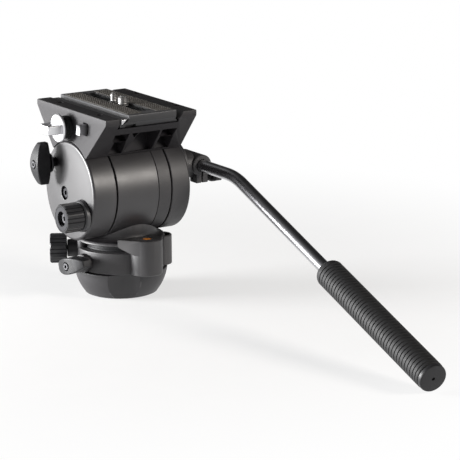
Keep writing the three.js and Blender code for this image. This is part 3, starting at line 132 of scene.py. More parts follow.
class Finish:
    """A material with one Principled shader, for one slot of the record."""

    def __init__(self, name, slot=None, **sockets):
        self.slot = slot or name
        self.material = bpy.data.materials.new(name)
        self.material.use_nodes = True
        self.tree = self.material.node_tree
        self.shader = self.tree.nodes["Principled BSDF"]
        self.place = self.node("ShaderNodeTexCoord", {}, {}, "Object")
        self.set(**sockets)

    def node(self, kind, settings, inputs, output):
        made = self.tree.nodes.new(kind)
        for key, value in settings.items():
            setattr(made, key, value)
        for key, value in inputs.items():
            self.feed(made.inputs[key], value)
        return Link(self, made.outputs[output])

    def feed(self, socket, value):
        if isinstance(value, Link):
            self.tree.links.new(value.socket, socket)
        else:
            socket.default_value = value

    def set(self, **sockets):
        for key, value in sockets.items():
            self.feed(self.shader.inputs[key.replace("_", " ")], value)

    def maths(self, operation, first, second):
        return self.node("ShaderNodeMath", dict(operation=operation), {0: first, 1: second}, 0)

    def ray(self, kind):
        """1 for rays of this kind, and 0 for all others."""
        return self.node("ShaderNodeLightPath", {}, {}, f"Is {kind} Ray")

    def noise(self, size, detail=2.0, stretch=(1, 1, 1)):
        """Cloudy noise with lumps of about this size in millimetres."""
        place = self.node("ShaderNodeMapping", {}, {"Vector": self.place, "Scale": stretch}, "Vector")
        return self.node("ShaderNodeTexNoise", {}, {
            "Vector": place, "Scale": 1 / (size * MM), "Detail": detail, "Roughness": 0.55}, "Fac")

    def grains(self, size):
        """Distance to the nearest of many scattered grains of this size in millimetres."""
        return self.node("ShaderNodeTexVoronoi", dict(feature="SMOOTH_F1"), {
            "Vector": self.place, "Scale": 1 / (size * MM), "Smoothness": 0.6}, "Distance")

    def mix(self, factor, first, second):
        return self.node("ShaderNodeMix", dict(data_type="RGBA"), {0: factor, 6: first, 7: second}, 2)

    def drifting(self, factor, dark, light):
        """A colour that drifts between two tones."""
        return self.mix(factor, tone(*dark), tone(*light))

    def edge_wear_and_highlight(self):
        """Near 1 on outer edges and near 0 elsewhere; the paler tone laid here is partly rubbed wear, partly a
        painted highlight on the rounded edge.
        """
        return self.node("ShaderNodeNewGeometry", {}, {}, "Pointiness").ramp(0.52, 0.6)

    def rise(self, height, depth):
        """Bump of this depth in millimetres, fed to the shader's Normal."""
        self.set(Normal=self.node("ShaderNodeBump", {}, {
            "Strength": 1.0, "Distance": depth * MM, "Height": height}, "Normal"))


print("finishes are built from", Link.__name__, "and", Finish.__name__)

# %% [markdown]
# ## Black paint on castings
# The big castings wear a baked powder paint: almost black, with a skin as fine as orange
# peel. A flat black would look like a hole in the picture, so the colour drifts a little,
# the skin gets a tiny bump, and outer edges are a shade paler: partly rubbed wear, partly a
# painted highlight where a rounded edge would catch the light. One function makes three
# grades of it, because the turned drum shines more and the platform less than the rest.

# %% Black paint and anodising
def painted(name, roughness, skin, gloss):
    """Baked powder paint; skin is the depth of its bumps in millimetres."""
    made = Finish(name, "black_paint", Metallic=0.0, Specular_IOR_Level=gloss)
    drift = made.noise(22, 3)
    black = made.drifting(drift, (26, 25, 27), (34, 32, 35))
    # Outer edges go paler: partly rubbed wear, partly a painted highlight on the rounded edge.
    made.set(Base_Color=made.mix(made.edge_wear_and_highlight() * 0.5, black, tone(84, 83, 84)),
             Roughness=drift * 0.08 + made.noise(3, 2) * 0.06 + roughness)
    made.rise(made.grains(0.55) * 0.6 + made.noise(0.35, 2) * 0.5, skin)
    return made


paint = painted("black_paint", 0.46, 0.045, 0.6)
satin = painted("satin_paint", 0.37, 0.03, 0.75)
matt = painted("matt_paint", 0.48, 0.045, 0.2)

anodised = Finish("black_anodised", Metallic=0.15, Specular_IOR_Level=0.5)
haze = anodised.noise(6, 3, (1, 0.12, 1))
dyed = anodised.drifting(haze, (26, 26, 28), (35, 35, 37))
# Outer edges go paler towards grey: partly rubbed wear, partly a painted highlight on the rounded edge.
anodised.set(Base_Color=anodised.mix(anodised.edge_wear_and_highlight() * 0.7, dyed, tone(96, 96, 98)),
             Roughness=haze * 0.12 + 0.38)
anodised.rise(anodised.noise(0.5, 2, (1, 0.1, 1)), 0.008)
print("three paints and anodising made")

# %% [markdown]
# ## Bare and plated metal
# The jaw is milled aluminium, the lock is plated silver, and screws run from bright steel
# to black oxide. Real machined metal shows the way the tool went, so each one gets a noise
# stretched along the cut, which changes how rough it is more than what colour it is.

# %% Metals
def metal(name, dark, light, roughness, grain, stretch, depth, slot=None):
    """Metal with tool lines: their length, their stretch along each axis, and their depth."""
    made = Finish(name, slot, Metallic=1.0)
    lines = made.noise(grain, 4, stretch)
    made.set(Base_Color=made.drifting(lines, dark, light),
             Roughness=lines * 0.16 + made.noise(9, 2) * 0.08 + roughness)
    made.rise(lines, depth)
    return made


ALL_WAYS = (1, 1, 1)
aluminium = metal("bare_aluminium", (168, 168, 170), (206, 206, 208), 0.2, 0.5, (1, 0.05, 1), 0.004)
silver = metal("silver", (214, 214, 216), (228, 228, 230), 0.2, 3, (1, 0.5, 0.5), 0.001)
steel = metal("steel", (112, 113, 116), (146, 147, 150), 0.2, 0.8, (0.2, 1, 1), 0.002)
stud_steel = metal("stud_steel", (128, 127, 126), (150, 149, 148), 0.34, 0.8, ALL_WAYS, 0.001, "steel")
screw_steel = metal("screw_steel", (66, 66, 68), (96, 96, 98), 0.3, 0.8, ALL_WAYS, 0.002, "steel")
oxide = metal("black_steel", (40, 40, 42), (60, 60, 62), 0.34, 0.5, ALL_WAYS, 0.008)
brass = metal("brass", (150, 118, 62), (190, 156, 92), 0.22, 0.5, (0.3, 1, 1), 0.006)
print("seven metals made")

# %% [markdown]
# ## Plastic, rubber, lacquer and spirit
# Knobs are moulded plastic with a pebbled skin, the grip is matt black rubber and the pads
# are a greyer one, the pan bar is grey metal under clear lacquer, and the bubble level is a
# drop of amber spirit. Their difference is nearly all in roughness and coat, so those are
# the values to compare.

# %% Plastic, rubber, lacquer, spirit
plastic = Finish("black_plastic", Specular_IOR_Level=0.3)
moulded = plastic.drifting(plastic.noise(8, 2), (22, 22, 24), (30, 30, 32))
# Outer edges go paler: partly rubbed wear, partly a painted highlight on the rounded edge.
plastic.set(Base_Color=plastic.mix(plastic.edge_wear_and_highlight() * 0.45, moulded, tone(66, 66, 68)),
            Roughness=plastic.noise(4, 2) * 0.12 + 0.38)
plastic.rise(plastic.grains(0.42), 0.025)


def rubbery(name, gloss, dark, light, depth):
    """Matt rubber with a fine cloudy skin."""
    made = Finish(name, "rubber", Specular_IOR_Level=gloss)
    made.set(Base_Color=made.drifting(made.noise(5, 3), dark, light),
             Roughness=made.noise(2.5, 2) * 0.15 + 0.55)
    made.rise(made.noise(0.4, 3), depth)
    return made


rubber = rubbery("rubber", 0.35, (20, 20, 21), (31, 31, 32), 0.05)
pad_rubber = rubbery("pad_rubber", 0.3, (82, 79, 76), (97, 94, 90), 0.02)

lacquer = Finish("gloss_tube", Metallic=1.0, Coat_Roughness=0.2, Coat_IOR=1.5)
ripple = lacquer.noise(14, 2)
lacquer.set(Base_Color=lacquer.drifting(ripple, (150, 150, 153), (162, 162, 165)),
            Roughness=ripple * 0.05 + 0.25, Coat_Weight=lacquer.noise(30, 1) * 0.2 + 0.5)
lacquer.rise(ripple, 0.002)

spirit = Finish("vial", Specular_IOR_Level=0.3, Coat_Weight=0.2, Coat_Roughness=0.03)
swirl = spirit.noise(4, 2)
spirit.set(Base_Color=spirit.drifting(swirl, (206, 112, 26), (236, 158, 60)), Roughness=swirl * 0.05 + 0.06)
spirit.rise(swirl, 0.01)
print("plastic, rubber, lacquer and spirit made")

# %% [markdown]
# ## Dressing the solids that stay
# Neck screws, bearings, brake pieces and the fluid drum inside are right as CAD made them.
# They keep their shapes and only get a finish, each by the slot that its record names.

# %% Finishes on the CAD nodes
FINISHES = {finish.slot: finish for finish in (
    paint, anodised, aluminium, silver, steel, oxide, brass, plastic, rubber, lacquer, spirit)}
for row in frame["record"]["subparts"]:
    mesh = nodes[row["node"]].data
    mesh.materials.clear()
    mesh.materials.append(FINISHES[row["material_slot"]].material)
print({slot: finish.material.name for slot, finish in FINISHES.items()})

# %% [markdown]
# ## A pale table
# The studio is all white. A plain grey floor would draw a horizon at its far edge, so a big
# disc takes the shadow near the head and fades into pure white further out. Mirrors see the
# same white as the camera, or the polished lock would reflect a dark room.

# %% Table
TABLE_RADIUS, FADE_FROM, FADE_TO, NEAR_WHITE = 14, 0.2, 0.65, 0.6
floor_finish = Finish("table", Specular_IOR_Level=0.1)
fleck = floor_finish.noise(40, 3)
floor_finish.set(Base_Color=floor_finish.drifting(fleck, (240, 240, 240), (245, 245, 245)),
                 Roughness=fleck * 0.1 + 0.7)
spot = floor_finish.node("ShaderNodeVectorMath", dict(operation="LENGTH"), {0: floor_finish.place}, "Value")
fade = spot.ramp(FADE_FROM, FADE_TO, NEAR_WHITE, 1.0)
glow = floor_finish.maths("MAXIMUM", fade * floor_finish.ray("Camera"), floor_finish.ray("Glossy"))
white = floor_finish.node("ShaderNodeEmission", {}, {"Color": (1, 1, 1, 1), "Strength": 1.0}, "Emission")
lit = Link(floor_finish, floor_finish.shader.outputs[0])
shade = floor_finish.node("ShaderNodeMixShader", {}, {0: glow, 1: lit, 2: white}, "Shader")
floor_finish.feed(floor_finish.tree.nodes["Material Output"].inputs["Surface"], shade)
table = bmesh.new()
bmesh.ops.create_circle(table, cap_ends=True, radius=TABLE_RADIUS, segments=96)
table_mesh = bpy.data.meshes.new("table")
table.to_mesh(table_mesh)
table.free()
floor = linked("table", table_mesh)
table_mesh.materials.append(floor_finish.material)
print("table", [round(v, 2) for v in floor.dimensions])

# %% [markdown]
# ## Soft light
# A panel low on the left rakes across the cap's face, and a weaker one in front fills the
# platform. Black castings show what they mirror, so the sky matters as much as the lamps:
# an image could light the head, but a few ramps on the ray's direction give the same soft
# window on the left and a pale band near the horizon, and stay easy to tune.

# %% Sky and panels
class Sky(Finish):
    """A world whose strength may follow the direction of a ray."""

    def __init__(self, name):
        world = bpy.data.worlds.new(name)
        scene.world = world
        world.use_nodes = True
        self.tree = world.node_tree
        self.shader = self.tree.nodes["Background"]
        self.place = self.node("ShaderNodeTexCoord", {}, {}, "Generated")


sky = Sky("studio")
east, north, height = (
    sky.node("ShaderNodeSeparateXYZ", {}, {"Vector": sky.place}, name) for name in "XYZ")
watched = sky.maths("MAXIMUM", sky.ray("Camera"), sky.ray("Transmission"))
window = (north * 0.35 - east).ramp(-0.1, 0.95) * height.ramp(0.25, 0.85, 1.0, 0.15)
around = height.ramp(0.0, 0.3, 0.45, 0.0)
sky.set(Color=(1, 1, 1, 1), Strength=sky.maths("MAXIMUM", watched, window + around + 0.03))


def panel(name, place, size, watts, target, hue):
    lamp = bpy.data.lights.new(name, "AREA")
    lamp.shape = "RECTANGLE"
    lamp.size, lamp.size_y = size
    lamp.energy = watts
    lamp.color = hue
    facing = (Vector(place) - Vector(target)).to_track_quat("Z", "Y").to_matrix().to_4x4()
    linked(name, lamp).matrix_world = Matrix.Translation(place) @ facing


panel("panel_left", (-1.15, 0.62, 0.2), (0.6, 0.38), 62, (-0.05, 0, 0.12), (1, 1, 1))
panel("panel_front", (0.83, -1.38, 0.79), (0.6, 0.3), 21, (0, 0, 0.13), (1, 0.95, 0.9))
print("studio lit")

# %% [markdown]
# ## Shapes from a few tools
# Most of the head was turned on a lathe or sawn from a profile, so most pieces here start
# as a profile that is spun, or an outline that is pushed out. Holes are drilled with the
# Boolean modifier, sharp edges are broken with a bevel, and one function settles a piece in
# its place. Lengths are written in millimetres and become metres only at the very end.

# %% Turning and pushing out
MERGE = 0.0008


def clean(shape):
    bmesh.ops.remove_doubles(shape, verts=shape.verts, dist=MERGE)
    bmesh.ops.recalc_face_normals(shape, faces=shape.faces)
    return shape


def only(kind, parts):
    """The vertices or the faces among all that an operator made."""
    return [part for part in parts if isinstance(part, kind)]


def at(reach, angle):
    """A point this far out and this many degrees round."""
    return (reach * cos(radians(angle)), reach * sin(radians(angle)))


def hexagon(reach):
    return [at(reach, 60 * corner) for corner in range(6)]


def arc(height, radius, start, end, steps):
    """Profile points on part of a circle whose centre is on the axis, in degrees."""
    turns = [start + (end - start) * step / steps for step in range(steps + 1)]
    return [(reach, height + rise) for reach, rise in (at(radius, turn) for turn in turns)]


def round_bar(profile, axis="Z", centre=(0, 0, 0), steps=96):
    """A profile of (radius, along) points spun about an axis; it closes itself off the axis."""
    shape = bmesh.new()
    points = [shape.verts.new((radius, 0, along)) for radius, along in profile]
    pairs = list(zip(points, points[1:]))
    if profile[0][0] > 0 or profile[-1][0] > 0:
        pairs.append((points[-1], points[0]))
    edges = [shape.edges.new(pair) for pair in pairs]
    bmesh.ops.spin(shape, geom=points + edges, axis=(0, 0, 1), cent=(0, 0, 0),
                   angle=2 * pi, steps=steps, use_merge=True)
    if axis == "X":
        moved(shape, angle=90, axis="Y")
    if axis == "Y":
        moved(shape, angle=-90, axis="X")
    return clean(moved(shape, centre))


def moved(shape, vec=(0, 0, 0), angle=0, axis="Z", about=(0, 0, 0)):
    """Turns a shape about a point, then shifts it."""
    turn = Matrix.Rotation(radians(angle), 3, axis)
    bmesh.ops.rotate(shape, verts=shape.verts, cent=about, matrix=turn)
    bmesh.ops.translate(shape, verts=shape.verts, vec=vec)
    return shape


def bar(radius, low, high, axis="Z", centre=(0, 0, 0), steps=48, edge=0.3):
    """A plain round bar with its two edges broken."""
    return round_bar([(0, low), (radius - edge, low), (radius, low + edge), (radius, high - edge),
                      (radius - edge, high), (0, high)], axis, centre, steps)


def sawn(outline, axis, low, high):
    """An outline pushed out along an axis: (y, z) along X, (x, z) along Y, (x, y) along Z."""
    places = {"X": lambda u, v: (low, u, v), "Y": lambda u, v: (u, low, v), "Z": lambda u, v: (u, v, low)}
    shape = bmesh.new()
    face = shape.faces.new([shape.verts.new(places[axis](u, v)) for u, v in outline])
    pushed = bmesh.ops.extrude_face_region(shape, geom=[face])["geom"]
    way = Vector([(high - low) * (name == axis) for name in "XYZ"])
    bmesh.ops.translate(shape, verts=only(bmesh.types.BMVert, pushed), vec=way)
    return clean(shape)


def block(x0, x1, y0, y1, z0, z1):
    shape = bmesh.new()
    bmesh.ops.create_cube(shape, size=1)
    bmesh.ops.scale(shape, verts=shape.verts, vec=(x1 - x0, y1 - y0, z1 - z0))
    bmesh.ops.translate(shape, verts=shape.verts, vec=((x0 + x1) / 2, (y0 + y1) / 2, (z0 + z1) / 2))
    return clean(shape)


def soften(shape, width, segments=2, over=25, clamp=True):
    """Breaks every edge that turns by more than this many degrees."""
    sharp = [edge for edge in shape.edges
             if edge.is_manifold and edge.calc_face_angle(0) > radians(over)]
    bmesh.ops.bevel(shape, geom=sharp, offset=width, offset_type="OFFSET", affect="EDGES",
                    segments=segments, profile=0.5, material=-1, clamp_overlap=clamp)
    return clean(shape)


def eased(shape, width=0.3):
    """Breaks only the steep edges, also where they meet finer ones."""
    return soften(shape, width, 2, 50, False)


print("a hexagon of reach 2:", [(round(x, 2), round(y, 2)) for x, y in hexagon(2)])

# %% [markdown]
# ## Drilling, welding and settling
# A hole could be cut with bmesh alone, edge by edge. The Boolean modifier does it from a
# drill's shape. Its manifold solver gives the same mesh in every run and keeps it closed,
# and its exact solver is kept for the platform, where many bays meet in long thin corners.

# %% Drilling and settling
def held(shape, name="blank"):
    """A plain object round a bmesh, which is used up."""
    mesh = bpy.data.meshes.new(name)
    shape.to_mesh(mesh)
    shape.free()
    return linked(name, mesh)


def finished(thing):
    """The object's mesh with its modifiers applied; the object itself goes."""
    ready = thing.evaluated_get(bpy.context.evaluated_depsgraph_get())
    mesh = bpy.data.meshes.new_from_object(ready)
    bpy.data.objects.remove(thing)
    return mesh


def worked(body, *tools, way="DIFFERENCE", solver="MANIFOLD"):
    """Cuts the tools out of the body, or welds them on with way="UNION"."""
    thing = held(body)
    others = [held(tool, "tool") for tool in tools]
    for other in others:
        step = thing.modifiers.new("step", "BOOLEAN")
        step.operation, step.object, step.solver = way, other, solver
    mesh = finished(thing)
    for other in others:
        bpy.data.objects.remove(other)
    shape = bmesh.new()
    shape.from_mesh(mesh)
    bpy.data.meshes.remove(mesh)
    return clean(shape)


def welded(body, *more):
    return worked(body, *more, way="UNION")


def settle(name, shape, finish, body, *replaced, sharp=34, slot=None):
    """The last steps of a piece: metres, smooth faces with crisp edges, finish and body."""
    slot = slot or finish.slot
    clean(shape)
    bmesh.ops.scale(shape, verts=shape.verts, vec=(MM, MM, MM))
    thing = held(shape, name)
    thing.data.shade_smooth()
    thing.data.set_sharp_from_angle(angle=radians(sharp))
    even = thing.modifiers.new("even", "WEIGHTED_NORMAL")
    even.keep_sharp = True
    mesh = finished(thing)
    piece = linked(name, mesh)
    mesh.materials.clear()
    mesh.materials.append(finish.material)
    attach(piece, body)
    if replaced:
        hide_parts(*replaced)
    print(name, len(mesh.polygons), "faces")


drilled = worked(block(0, 10, 0, 10, 0, 10), bar(2, -5, 15, centre=(5, 5, 0)))
print("a drilled 10 mm cube holds", round(drilled.calc_volume(), 1), "mm3")

# %% [markdown]
# ## The half ball
# The base is a shallow bowl-seat casting with three scooped sides. It could be a sphere
# that is cut flat, but its true section is a rim, a ball, a softly rounded foot and a hub
# inside, so it is turned from that section and the scoops are milled out afterwards.

# %% Half ball
BALL, BALL_CENTRE, BALL_TOP = 47.5, 31.7, 27.0
SCOOP_CUTTER = 40


def ball_radius(height):
    return sqrt(BALL**2 - (BALL_CENTRE - height) ** 2)


def ball_scoop(angle):
    """A wide round cutter that leans in towards the ball's foot."""
    top_reach = ball_radius(BALL_TOP) - 4.2 + SCOOP_CUTTER
    low_reach = ball_radius(0) + 0.3 + SCOOP_CUTTER
    lean = degrees(atan2(top_reach - low_reach, BALL_TOP))
    cutter = moved(bar(SCOOP_CUTTER, -30, 30, steps=160, edge=0.01), angle=lean, axis="Y")
    moved(cutter, ((top_reach + low_reach) / 2, 0, BALL_TOP / 2))
    return moved(cutter, angle=angle)


low_angle = degrees(asin((2.4 - BALL_CENTRE) / BALL))
high_angle = degrees(asin((BALL_TOP - 0.8 - BALL_CENTRE) / BALL))
foot = [(0, 0), (ball_radius(0) - 2.4, 0), (ball_radius(0) - 0.9, 0.35), (ball_radius(2.4) - 0.5, 1.35)]
rim = [(ball_radius(BALL_TOP) - 0.7, BALL_TOP), (38.2, BALL_TOP)]
hub = [(15, 10), (15, BALL_TOP), (0, BALL_TOP)]
ball_section = (foot + arc(BALL_CENTRE, BALL, low_angle, high_angle, 18) + rim
                + arc(BALL_CENTRE, BALL - 9, -7.0, -34, 8) + hub)
ball = worked(round_bar(ball_section, steps=144), *[ball_scoop(angle) for angle in (-116, 4, 124)],
              bar(12.3, -5, 7.3, steps=72), bar(5.3, -5, 40))
settle("half_ball_shell", soften(ball, 0.45, 2, 28, False), paint, "base", "half_ball")

bolt = round_bar([(0, 0), (11.2, 0), (12, 0.8), (12, 7), (5, 7), (5, 44), (0, 44)], steps=72)
bolt = soften(worked(bolt, sawn(hexagon(5.2), "Z", -1, 4.5)), 0.25, 2, 40, False)
settle("tie_bolt", bolt, steel, "base", "ball_bolt")

# %% [markdown]
# ## The turned drum
# The tilt cartridge hides in a fat drum: a middle that is fixed to the neck and two caps
# that tilt with the platform, parted by fine shadow lines. The seams are what makes it look
# like four pieces, so every rim gets its own small round, and a step where the cover fits.
# The left cap's face could be flat, but light falls off across the real one, so its profile
# is crowned by a millimetre, with flat seats milled where the controls stand on it.

# %% Drum
DRUM, LEFT, RIGHT = 50.0, -58.0, 54.0
RIM, CROWN, CROWN_REACH, SEAT = 2.6, 1.2, 45.4, 0.05
BAR_Z = 14.5
TILT_LOCK, DRAG_KNOB, CAP_SCREW, ROSETTE = (27.3, 25.1), (-29.1, -19.8), (8.1, -3.4), (-14, BAR_Z)
PLATE_LOCK, RELEASE = (4.4, 64.3), (-31, 67.5)


def on_axis(y=0.0, z=0.0, x=0.0):
    """A place given from the tilt axis."""
    return (x, y, AXIS_HEIGHT + z)


def shaft(radius, low, high, spot=(0, 0), steps=48, edge=0.3):
    """A round bar that lies along the drum, through a (y, z) spot."""
    return bar(radius, low, high, "X", on_axis(*spot), steps, edge)


def lathe(profile, spot=(0, 0), steps=96):
    """A profile spun about a line along the drum, through a (y, z) spot."""
    return round_bar(profile, "X", on_axis(*spot), steps)


def skin(radius, low, high, first, last):
    """The outer profile of a ring, with a small round at its first and its last rim."""
    return [(radius - first, low), (radius - first * 0.3, low + first * 0.3), (radius, low + first),
            (radius, high - last), (radius - last * 0.3, high - last * 0.3), (radius - last, high)]


def cap_rim(face, way):
    """The wide round from a cap's face to the drum's skin."""
    turns = [radians(15 * step) for step in range(7)]
    return [(DRUM - RIM + RIM * sin(turn), face + way * (RIM - RIM * cos(turn))) for turn in turns]


middle = lathe([(0, -30.1)] + skin(DRUM, -30.1, 16.7, 0.7, 0.6) + [(43, 16.75), (43, -24.1), (0, -24.1)],
               steps=144)
settle("drum_barrel", worked(middle, shaft(14.3, -40, -20)), satin, "pan_head", "drum_middle")
cover = lathe([(14.3, 25.1), (43, 25.1), (43, 17.15)] + skin(DRUM, 17.15, 31.1, 0.6, 0.7) + [(14.3, 31.1)],
              steps=144)
settle("drum_cover", cover, paint, "pan_head", "drum_cover_ring")

crowned = [(radius, LEFT - CROWN * (1 - (radius / CROWN_REACH) ** 2))
           for radius in (0, 4, 8, 12, 16, 20, 24, 28, 32, 36, 39, 42, CROWN_REACH)]
left_cap = lathe(crowned + cap_rim(LEFT, 1) + [
    (DRUM, -32.3), (DRUM - 0.6, -31.7), (45, -31.7), (45, LEFT + 5), (16, LEFT + 5), (16, -36.3), (0, -36.3)],
    steps=144)
left_cap = worked(
    welded(left_cap, shaft(7.6, LEFT + 2.5, LEFT + 18, TILT_LOCK)),
    shaft(8.3, LEFT + 8, -30), shaft(7, LEFT - 5, LEFT + 3, CAP_SCREW, 72),
    shaft(3.3, LEFT - 5, LEFT + 12, CAP_SCREW), shaft(2.9, LEFT - 5, LEFT + 6, TILT_LOCK),
    shaft(5.7, LEFT + 5, -30, TILT_LOCK), shaft(3.3, LEFT - 5, LEFT + 6, DRAG_KNOB),
    shaft(10.5, LEFT - 5, LEFT + SEAT, TILT_LOCK), shaft(16.2, LEFT - 5, LEFT + SEAT, DRAG_KNOB))
settle("tilt_cap_left", eased(left_cap), satin, "tilt_head", "left_end_cap")

pad = worked(shaft(27, RIGHT - 1, RIGHT + 3.6, ROSETTE, 96, 0.8), shaft(DRUM - 0.05, 40, 70, steps=144),
             way="INTERSECT")
right_cap = lathe([(0, RIGHT)] + cap_rim(RIGHT, -1) + [
    (DRUM, 33.3), (DRUM - 0.6, 32.7), (45, 32.7), (45, RIGHT - 5), (13, RIGHT - 5), (13, 37.3), (0, 37.3)],
    steps=144)
right_cap = worked(welded(right_cap, pad), shaft(8.3, 30, RIGHT - 5), shaft(4.3, RIGHT - 6, RIGHT + 6, ROSETTE))
settle("tilt_cap_right", eased(right_cap), paint, "tilt_head", "right_end_cap")

# %% [markdown]
# ## The collar
# The collar is the cup that pans on the half ball, with columns that carry the neck and
# one for the bubble level. A cup, its columns and its bosses are simple alone, so they are
# welded first and the rooms inside are bored afterwards, in the order in which a foundry
# and a mill would work.

# %% Collar
COLLAR, COLLAR_LOW, COLLAR_TOP, FLANGE, LEVEL_TOP = 45.0, 27.3, 49.3, 56.5, 63.8
LEVEL_X, LEVEL_Y, LEVEL_RADIUS, VIAL_Y = 3.0, -46.0, 16.5, -47.5
WEB_X, WEB_Y = -25, -37.5
PILLARS, PILLAR_REACH, NECK_SCREWS, SCREW_REACH = (-30, 72), 40, (-30, 72, 165), 41
PAN_LOCK, PAN_DRAG = (188, 36.8), (150, 45.6)


def posts(radius, low, high, reach, angles, steps=48, edge=0.3):
    """Round bars that stand round the pan axis."""
    return [bar(radius, low, high, "Z", at(reach, angle) + (0,), steps, edge) for angle in angles]


def spoke(radius, low, high, way, edge=0.5):
    """A round bar that points outwards from the pan axis, at an (angle, height)."""
    angle, height = way
    return moved(bar(radius, low, high, "X", (0, 0, height), 64, edge), angle=angle)


def level_plan(grown, low, high):
    """The level's round column and its pointed web, grown by a clearance."""
    radius = LEVEL_RADIUS + grown
    dx, dy = WEB_X - grown - LEVEL_X, WEB_Y + grown - LEVEL_Y
    first = pi - asin(dy / radius)
    touch = atan2(dy, dx) + acos(radius / hypot(dx, dy)) - 2 * pi
    turns = [touch + (first - touch) * step / 90 for step in range(91)]
    outline = [(LEVEL_X + radius * cos(turn), LEVEL_Y + radius * sin(turn)) for turn in turns]
    return sawn(outline + [(LEVEL_X + dx, LEVEL_Y + dy)], "Z", low, high)


web_top = LEVEL_TOP - 0.05
web_side = [(WEB_X, web_top), (WEB_X, FLANGE), (-13.5, 48.7), (LEVEL_X, 48.7), (LEVEL_X, web_top)]
web = worked(level_plan(-0.05, COLLAR_TOP - 1, LEVEL_TOP + 1), sawn(web_side, "Y", -63, 0), way="INTERSECT")
cup = [(0, COLLAR_LOW)] + skin(COLLAR, COLLAR_LOW, COLLAR_TOP, 1, 1) + [(0, COLLAR_TOP)]
level_post = bar(LEVEL_RADIUS, COLLAR_LOW + 0.4, LEVEL_TOP, "Z", (LEVEL_X, LEVEL_Y, 0), 96, 0.8)
cast = welded(round_bar(cup, steps=144), level_post,
              *posts(12, COLLAR_LOW + 1, 58.6, PILLAR_REACH, PILLARS, 72, 0.6),
              *posts(5, COLLAR_LOW + 1, FLANGE, PILLAR_REACH, (165,)),
              spoke(9.6, 30, 51, PAN_LOCK, 0.8), spoke(9, 30, 54, PAN_DRAG, 0.8), web)
flange_room = worked(bar(45.3, FLANGE - 0.3, 70, steps=144, edge=0.01), level_plan(0.06, 48, 75))
collar = worked(
    cast, bar(34, COLLAR_LOW + 4, 70, steps=144), bar(37.3, COLLAR_TOP, 70, steps=144, edge=0.01), flange_room,
    bar(20.4, 20, 40, steps=96), bar(6.9, LEVEL_TOP - 5, 70, "Z", (LEVEL_X, VIAL_Y, 0), edge=0.01),
    *posts(9.8, 55.6, 70, PILLAR_REACH, PILLARS, 72), *[spoke(3.3, 26, 60, way) for way in (PAN_LOCK, PAN_DRAG)],
    *posts(2.3, 20, 70, SCREW_REACH, NECK_SCREWS, 24), *posts(3.7, 20, 31.3, SCREW_REACH, NECK_SCREWS, 36))
tallest = max(vert.co.z for vert in collar.verts)
print("collar is", round(tallest, 2), "mm high,", round(collar.calc_volume() / 1000, 1), "cm3")
settle("collar", collar, paint, "pan_head", "collar_housing")

# %% [markdown]
# ## The neck
# The neck is screwed on top of the columns and sweeps up to the drum, with a slot of shadow
# under its flange. Its sweep could be a row of measured points, but a curve with one handle
# needs only three, and a saddle as wide as the drum is milled out of its top.

# %% Neck
neck_section = [(0, 35), (17.5, 35), (18, 35.5), (18, FLANGE), (COLLAR - 0.5, FLANGE), (COLLAR, FLANGE + 0.5),
                (COLLAR, FLANGE + 1.3), (COLLAR - 0.6, FLANGE + 2.6), (COLLAR - 1.7, FLANGE + 3.4)]
for t in (step / 12 for step in range(1, 13)):
    neck_section.append(((1 - t) ** 2 * 43.3 + (1 - (1 - t) ** 2) * 36, (1 - t**2) * 59.9 + t**2 * 66.9))
neck_section += [(36, 86.3), (0, 86.3)]
neck = worked(round_bar(neck_section, steps=144), shaft(DRUM + 0.3, -70, 70, steps=144),
              bar(9.4, 30, 80, steps=64), bar(14.3, 30, 40.6, steps=64), bar(14.3, 51.2, 56.8, steps=64),
              *posts(2.3, 50, 59.4, SCREW_REACH, NECK_SCREWS, 24),
              worked(level_plan(0.3, 48, 75), bar(37, 20, 90, steps=144)))
settle("neck", neck, paint, "pan_head", "neck_casting")

# %% [markdown]
# ## The pan scale and the bubble level
# Two small things tell the operator where the head stands: a ring of degree ticks in the
# slot under the neck, and a round spirit level on its own column. The ticks are one small
# block, repeated round the ring, and the level is a turned cup with a crowned glass.

# %% Scale and level
TICKS, LONG_EVERY = 72, 6
ring = [(34, 49.6), (36.4, 49.6), (36.7, 49.9), (36.7, 51.2), (36.3, 51.5), (36.3, 54.6), (36.7, 54.9),
        (36.7, 55.9), (36.4, 56.2), (34, 56.2)]
settle("pan_ring", round_bar(ring, steps=144), plastic, "pan_head", "pan_dust_ring")
ticks = bmesh.new()
for step in range(TICKS):
    tall = 1.2 if step % LONG_EVERY else 2.2
    tick = moved(block(36.1, 36.45, -0.14, 0.14, 51.8, 51.8 + tall), angle=360 / TICKS * step)
    mesh = bpy.data.meshes.new("tick")
    tick.to_mesh(mesh)
    tick.free()
    ticks.from_mesh(mesh)
    bpy.data.meshes.remove(mesh)
settle("pan_scale", ticks, plastic, "pan_head")
level_centre = (LEVEL_X, VIAL_Y, 0)
level_cup = [(0, 59.1), (6.3, 59.1), (6.6, 59.4), (6.6, 63.5), (6.3, 63.8), (5.5, 63.8), (5.3, 63.5),
             (5.3, 61.2), (0, 61.2)]
settle("level_ring", round_bar(level_cup, centre=level_centre), anodised, "pan_head", "level_cup")
glass = [(0, 61.5), (4.9, 61.5), (5, 61.6), (5, 62.9), (4.4, 63.25), (3.2, 63.55), (1.6, 63.72), (0, 63.78)]
settle("level_glass", round_bar(glass, centre=level_centre), spirit, "pan_head", "level_vial")

# %% [markdown]
# ## The platform
# This casting is the hardest shape of the head: ends that lean back, a long dovetailed
# channel, and braced bays under the deck. Each bay is two shallow scoops, one above the
# other, which are cut with convex hulls: a hull needs only corners and their depths, so
# the floor of a scoop may twist as it likes, and its light fades the way a casting's does.

